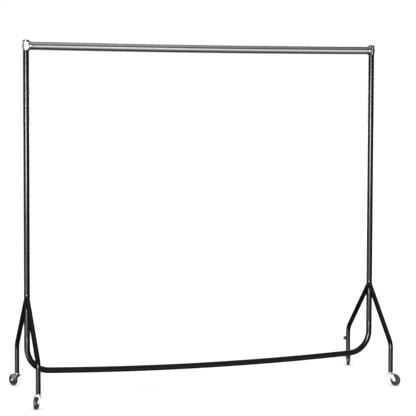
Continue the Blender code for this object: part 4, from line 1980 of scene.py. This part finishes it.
@dataclass
class Studio:
    """Floor, soft light and camera.

    The bands are parts of the walls, by the components of a direction.
    """

    floor_radius: float = 60.0
    floor_sides: int = 96
    floor_grey: Point3D = (0.84, 0.84, 0.84)
    floor_pale: Point3D = (0.86, 0.86, 0.86)
    floor_cloud: float = 2.0
    floor_roughness: float = 0.9
    camera_place: Point3D = (-1.9707, -6.0091, 1.2832)
    camera_azimuth: float = -18.2708
    camera_elevation: float = 3.0944
    camera_roll: float = 0.1741
    lens: float = 123.721
    shift: float = -0.08
    ceiling: float = 3.9
    ceiling_spread: float = 120.0
    dark_room: float = 0.012
    front_half: Band = Band((0.0, 0.25))
    rear_half: Band = Band((0.10, 0.40))
    front_width: Band = Band((-0.05, 0.12), (0.48, 0.65))
    horizon: float = 0.85
    horizon_band: Band = Band((-0.62, -0.40), (-0.02, 0.26))
    low_wall: float = 0.22
    low_wall_band: Band = Band((-0.98, -0.80), (-0.55, -0.35))
    mid_wall: float = 0.10
    mid_wall_band: Band = Band((0.10, 0.30))
    rear_floor: float = 0.12
    rear_floor_top: Point2D = (-0.55, -0.35)
    canopy: float = 0.34
    canopy_band: Band = Band((0.62, 0.84))
    canopy_dim: float = 0.55
    canopy_dim_band: Band = Band((0.24, 0.40))
    boxes: tuple[Softbox, ...] = (
        Softbox("front_softbox", (-3.6, -6.6, 1.35), (0, 0, 1.2), (2.2, 2.5), 1250.0),
        Softbox("rear_softbox", (2.4, 5.6, 2.0), (0, 0, 1.0), (2.6, 2.2), 80.0),
    )
    glows: tuple[Glow, ...] = (
        Glow((-0.51, -0.84, -0.20), 7.0, 19.0, 9.0),
        Glow((0.262, -0.965, 0.035), 0.8, 3.5, 1.6),
        Glow((-0.95, -0.12, -0.44), 10.0, 17.0, 8.5),
        Glow((-0.99, -0.09, 0.08), 7.0, 15.0, 1.5),
        Glow((0.28, 0.93, 0.27), 9.0, 15.0, 0.75),
        Glow((0.68, 0.73, -0.20), 8.0, 20.0, 0.9),
    )

    def floor(self) -> None:
        """The floor, which glossy surfaces don't show."""
        editable = bmesh.new()
        bmesh.ops.create_circle(
            editable, cap_ends=True, segments=self.floor_sides, radius=self.floor_radius
        )
        mesh = bpy.data.meshes.new("floor")
        editable.to_mesh(mesh)
        editable.free()
        if mesh.polygons[0].normal.z < 0:
            mesh.flip_normals()
        material = bpy.data.materials.new("pale_paper")
        material.use_nodes = True
        sheet = NodeSheet(material.node_tree)
        cloud = sheet.noise(self.floor_cloud, detail=3.0)
        colour = sheet.mix(cloud, self.floor_grey, self.floor_pale)
        inputs = {"Base Color": colour, "Roughness": self.floor_roughness, "Specular IOR Level": 0.0}
        shader = sheet.node("ShaderNodeBsdfPrincipled", inputs=inputs)
        sheet.node("ShaderNodeOutputMaterial", inputs={"Surface": shader})
        mesh.materials.append(material)
        obj = add_object("floor", mesh)
        obj.visible_glossy = False

    def room(self, sheet: NodeSheet) -> Signal:
        """What glossy surfaces see: a dark room with pale patches.

        A pale horizon, a low wall and a high one stand in front, a dim floor
        lies behind, and a canopy hangs over all of it.

        Args:
            sheet: The world's node sheet.

        Returns:
            Its radiance by direction.
        """
        looking = sheet.node("ShaderNodeTexCoord", output="Generated")
        side, depth, up = (sheet.axis(looking, name) for name in "XYZ")
        ahead = self.front_half.signal(0.0 - depth) * self.front_width.signal(side)
        front = self.horizon_band.signal(up) * self.horizon
        front = front + self.low_wall_band.signal(up) * self.low_wall
        front = front + self.mid_wall_band.signal(up) * self.mid_wall
        behind = self.rear_half.signal(depth) * (1.0 - up.between(*self.rear_floor_top))
        dimmed = 1.0 - self.canopy_dim_band.signal(side) * self.canopy_dim
        canopy = self.canopy_band.signal(up) * dimmed
        light = self.dark_room + ahead * front + behind * self.rear_floor + canopy * self.canopy
        for glow in self.glows:
            light = light + glow.signal(sheet, looking)
        return light

    def world(self) -> None:
        """A white backdrop for the camera, and the studio's walls for everything else."""
        world = bpy.data.worlds.new("studio")
        bpy.context.scene.world = world
        world.cycles.sampling_method = "NONE"
        world.use_nodes = True
        sheet = NodeSheet(world.node_tree)
        white = {"Color": (1.0, 1.0, 1.0, 1.0)}
        walls = sheet.node("ShaderNodeBackground", inputs={**white, "Strength": self.room(sheet)})
        pale = sheet.node("ShaderNodeBackground", inputs={**white, "Strength": 1.0})
        seen = sheet.node("ShaderNodeLightPath", output="Is Camera Ray")
        both = sheet.node("ShaderNodeMixShader", inputs={0: seen, 1: walls, 2: pale})
        sheet.node("ShaderNodeOutputWorld", inputs={"Surface": both})

    def overhead(self) -> None:
        """Broad light from above that keeps the floor pale."""
        lamp = bpy.data.lights.new("ceiling", "SUN")
        lamp.energy = self.ceiling
        lamp.angle = math.radians(self.ceiling_spread)
        obj = bpy.data.objects.new("ceiling", lamp)
        bpy.context.scene.collection.objects.link(obj)
        obj.visible_glossy = False

    def camera(self) -> None:
        """The camera, a little left of the rack's middle."""
        data = bpy.data.cameras.new("camera")
        data.lens = self.lens
        data.shift_y = self.shift
        obj = bpy.data.objects.new("camera", data)
        bpy.context.scene.collection.objects.link(obj)
        obj.location = self.camera_place
        turn = Matrix.Rotation(math.radians(self.camera_azimuth), 4, "Z")
        tilt = Matrix.Rotation(math.radians(90 - self.camera_elevation), 4, "X")
        roll = Matrix.Rotation(math.radians(self.camera_roll), 4, "Z")
        obj.rotation_euler = (turn @ tilt @ roll).to_euler()
        bpy.context.scene.camera = obj

    def build(self) -> None:
        """Make the studio."""
        bpy.context.scene.view_settings.view_transform = "Standard"
        self.camera()
        self.floor()
        self.world()
        self.overhead()
        for box in self.boxes:
            box.build()


def dress_frame() -> None:
    """Give the nuts, spring rings and joiner, which keep their solids, their zinc."""
    for name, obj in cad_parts.items():
        if not obj.hide_render:
            for slot in obj.material_slots:
                slot.material = ZINC.material()
            LOG.info("%s keeps its solid, with %s", name, ZINC.name)


def main() -> None:
    """Build the rack's sub-assemblies in order, then the studio."""
    logging.basicConfig(level=logging.INFO, format="%(name)s: %(message)s")
    shop = Workshop()
    HangingRail(shop).build()
    for end in End:
        CornerCasting(shop, end).build()
        Upright(shop, end).build()
        Foot(shop, end).build()
    BaseRail(shop).build()
    FrameScrews(shop).build()
    LegStud().build()
    for end in End:
        for side in Side:
            Castor(shop, end, side).build()
    dress_frame()
    Studio().build()


if __name__ == "__main__":
    main()
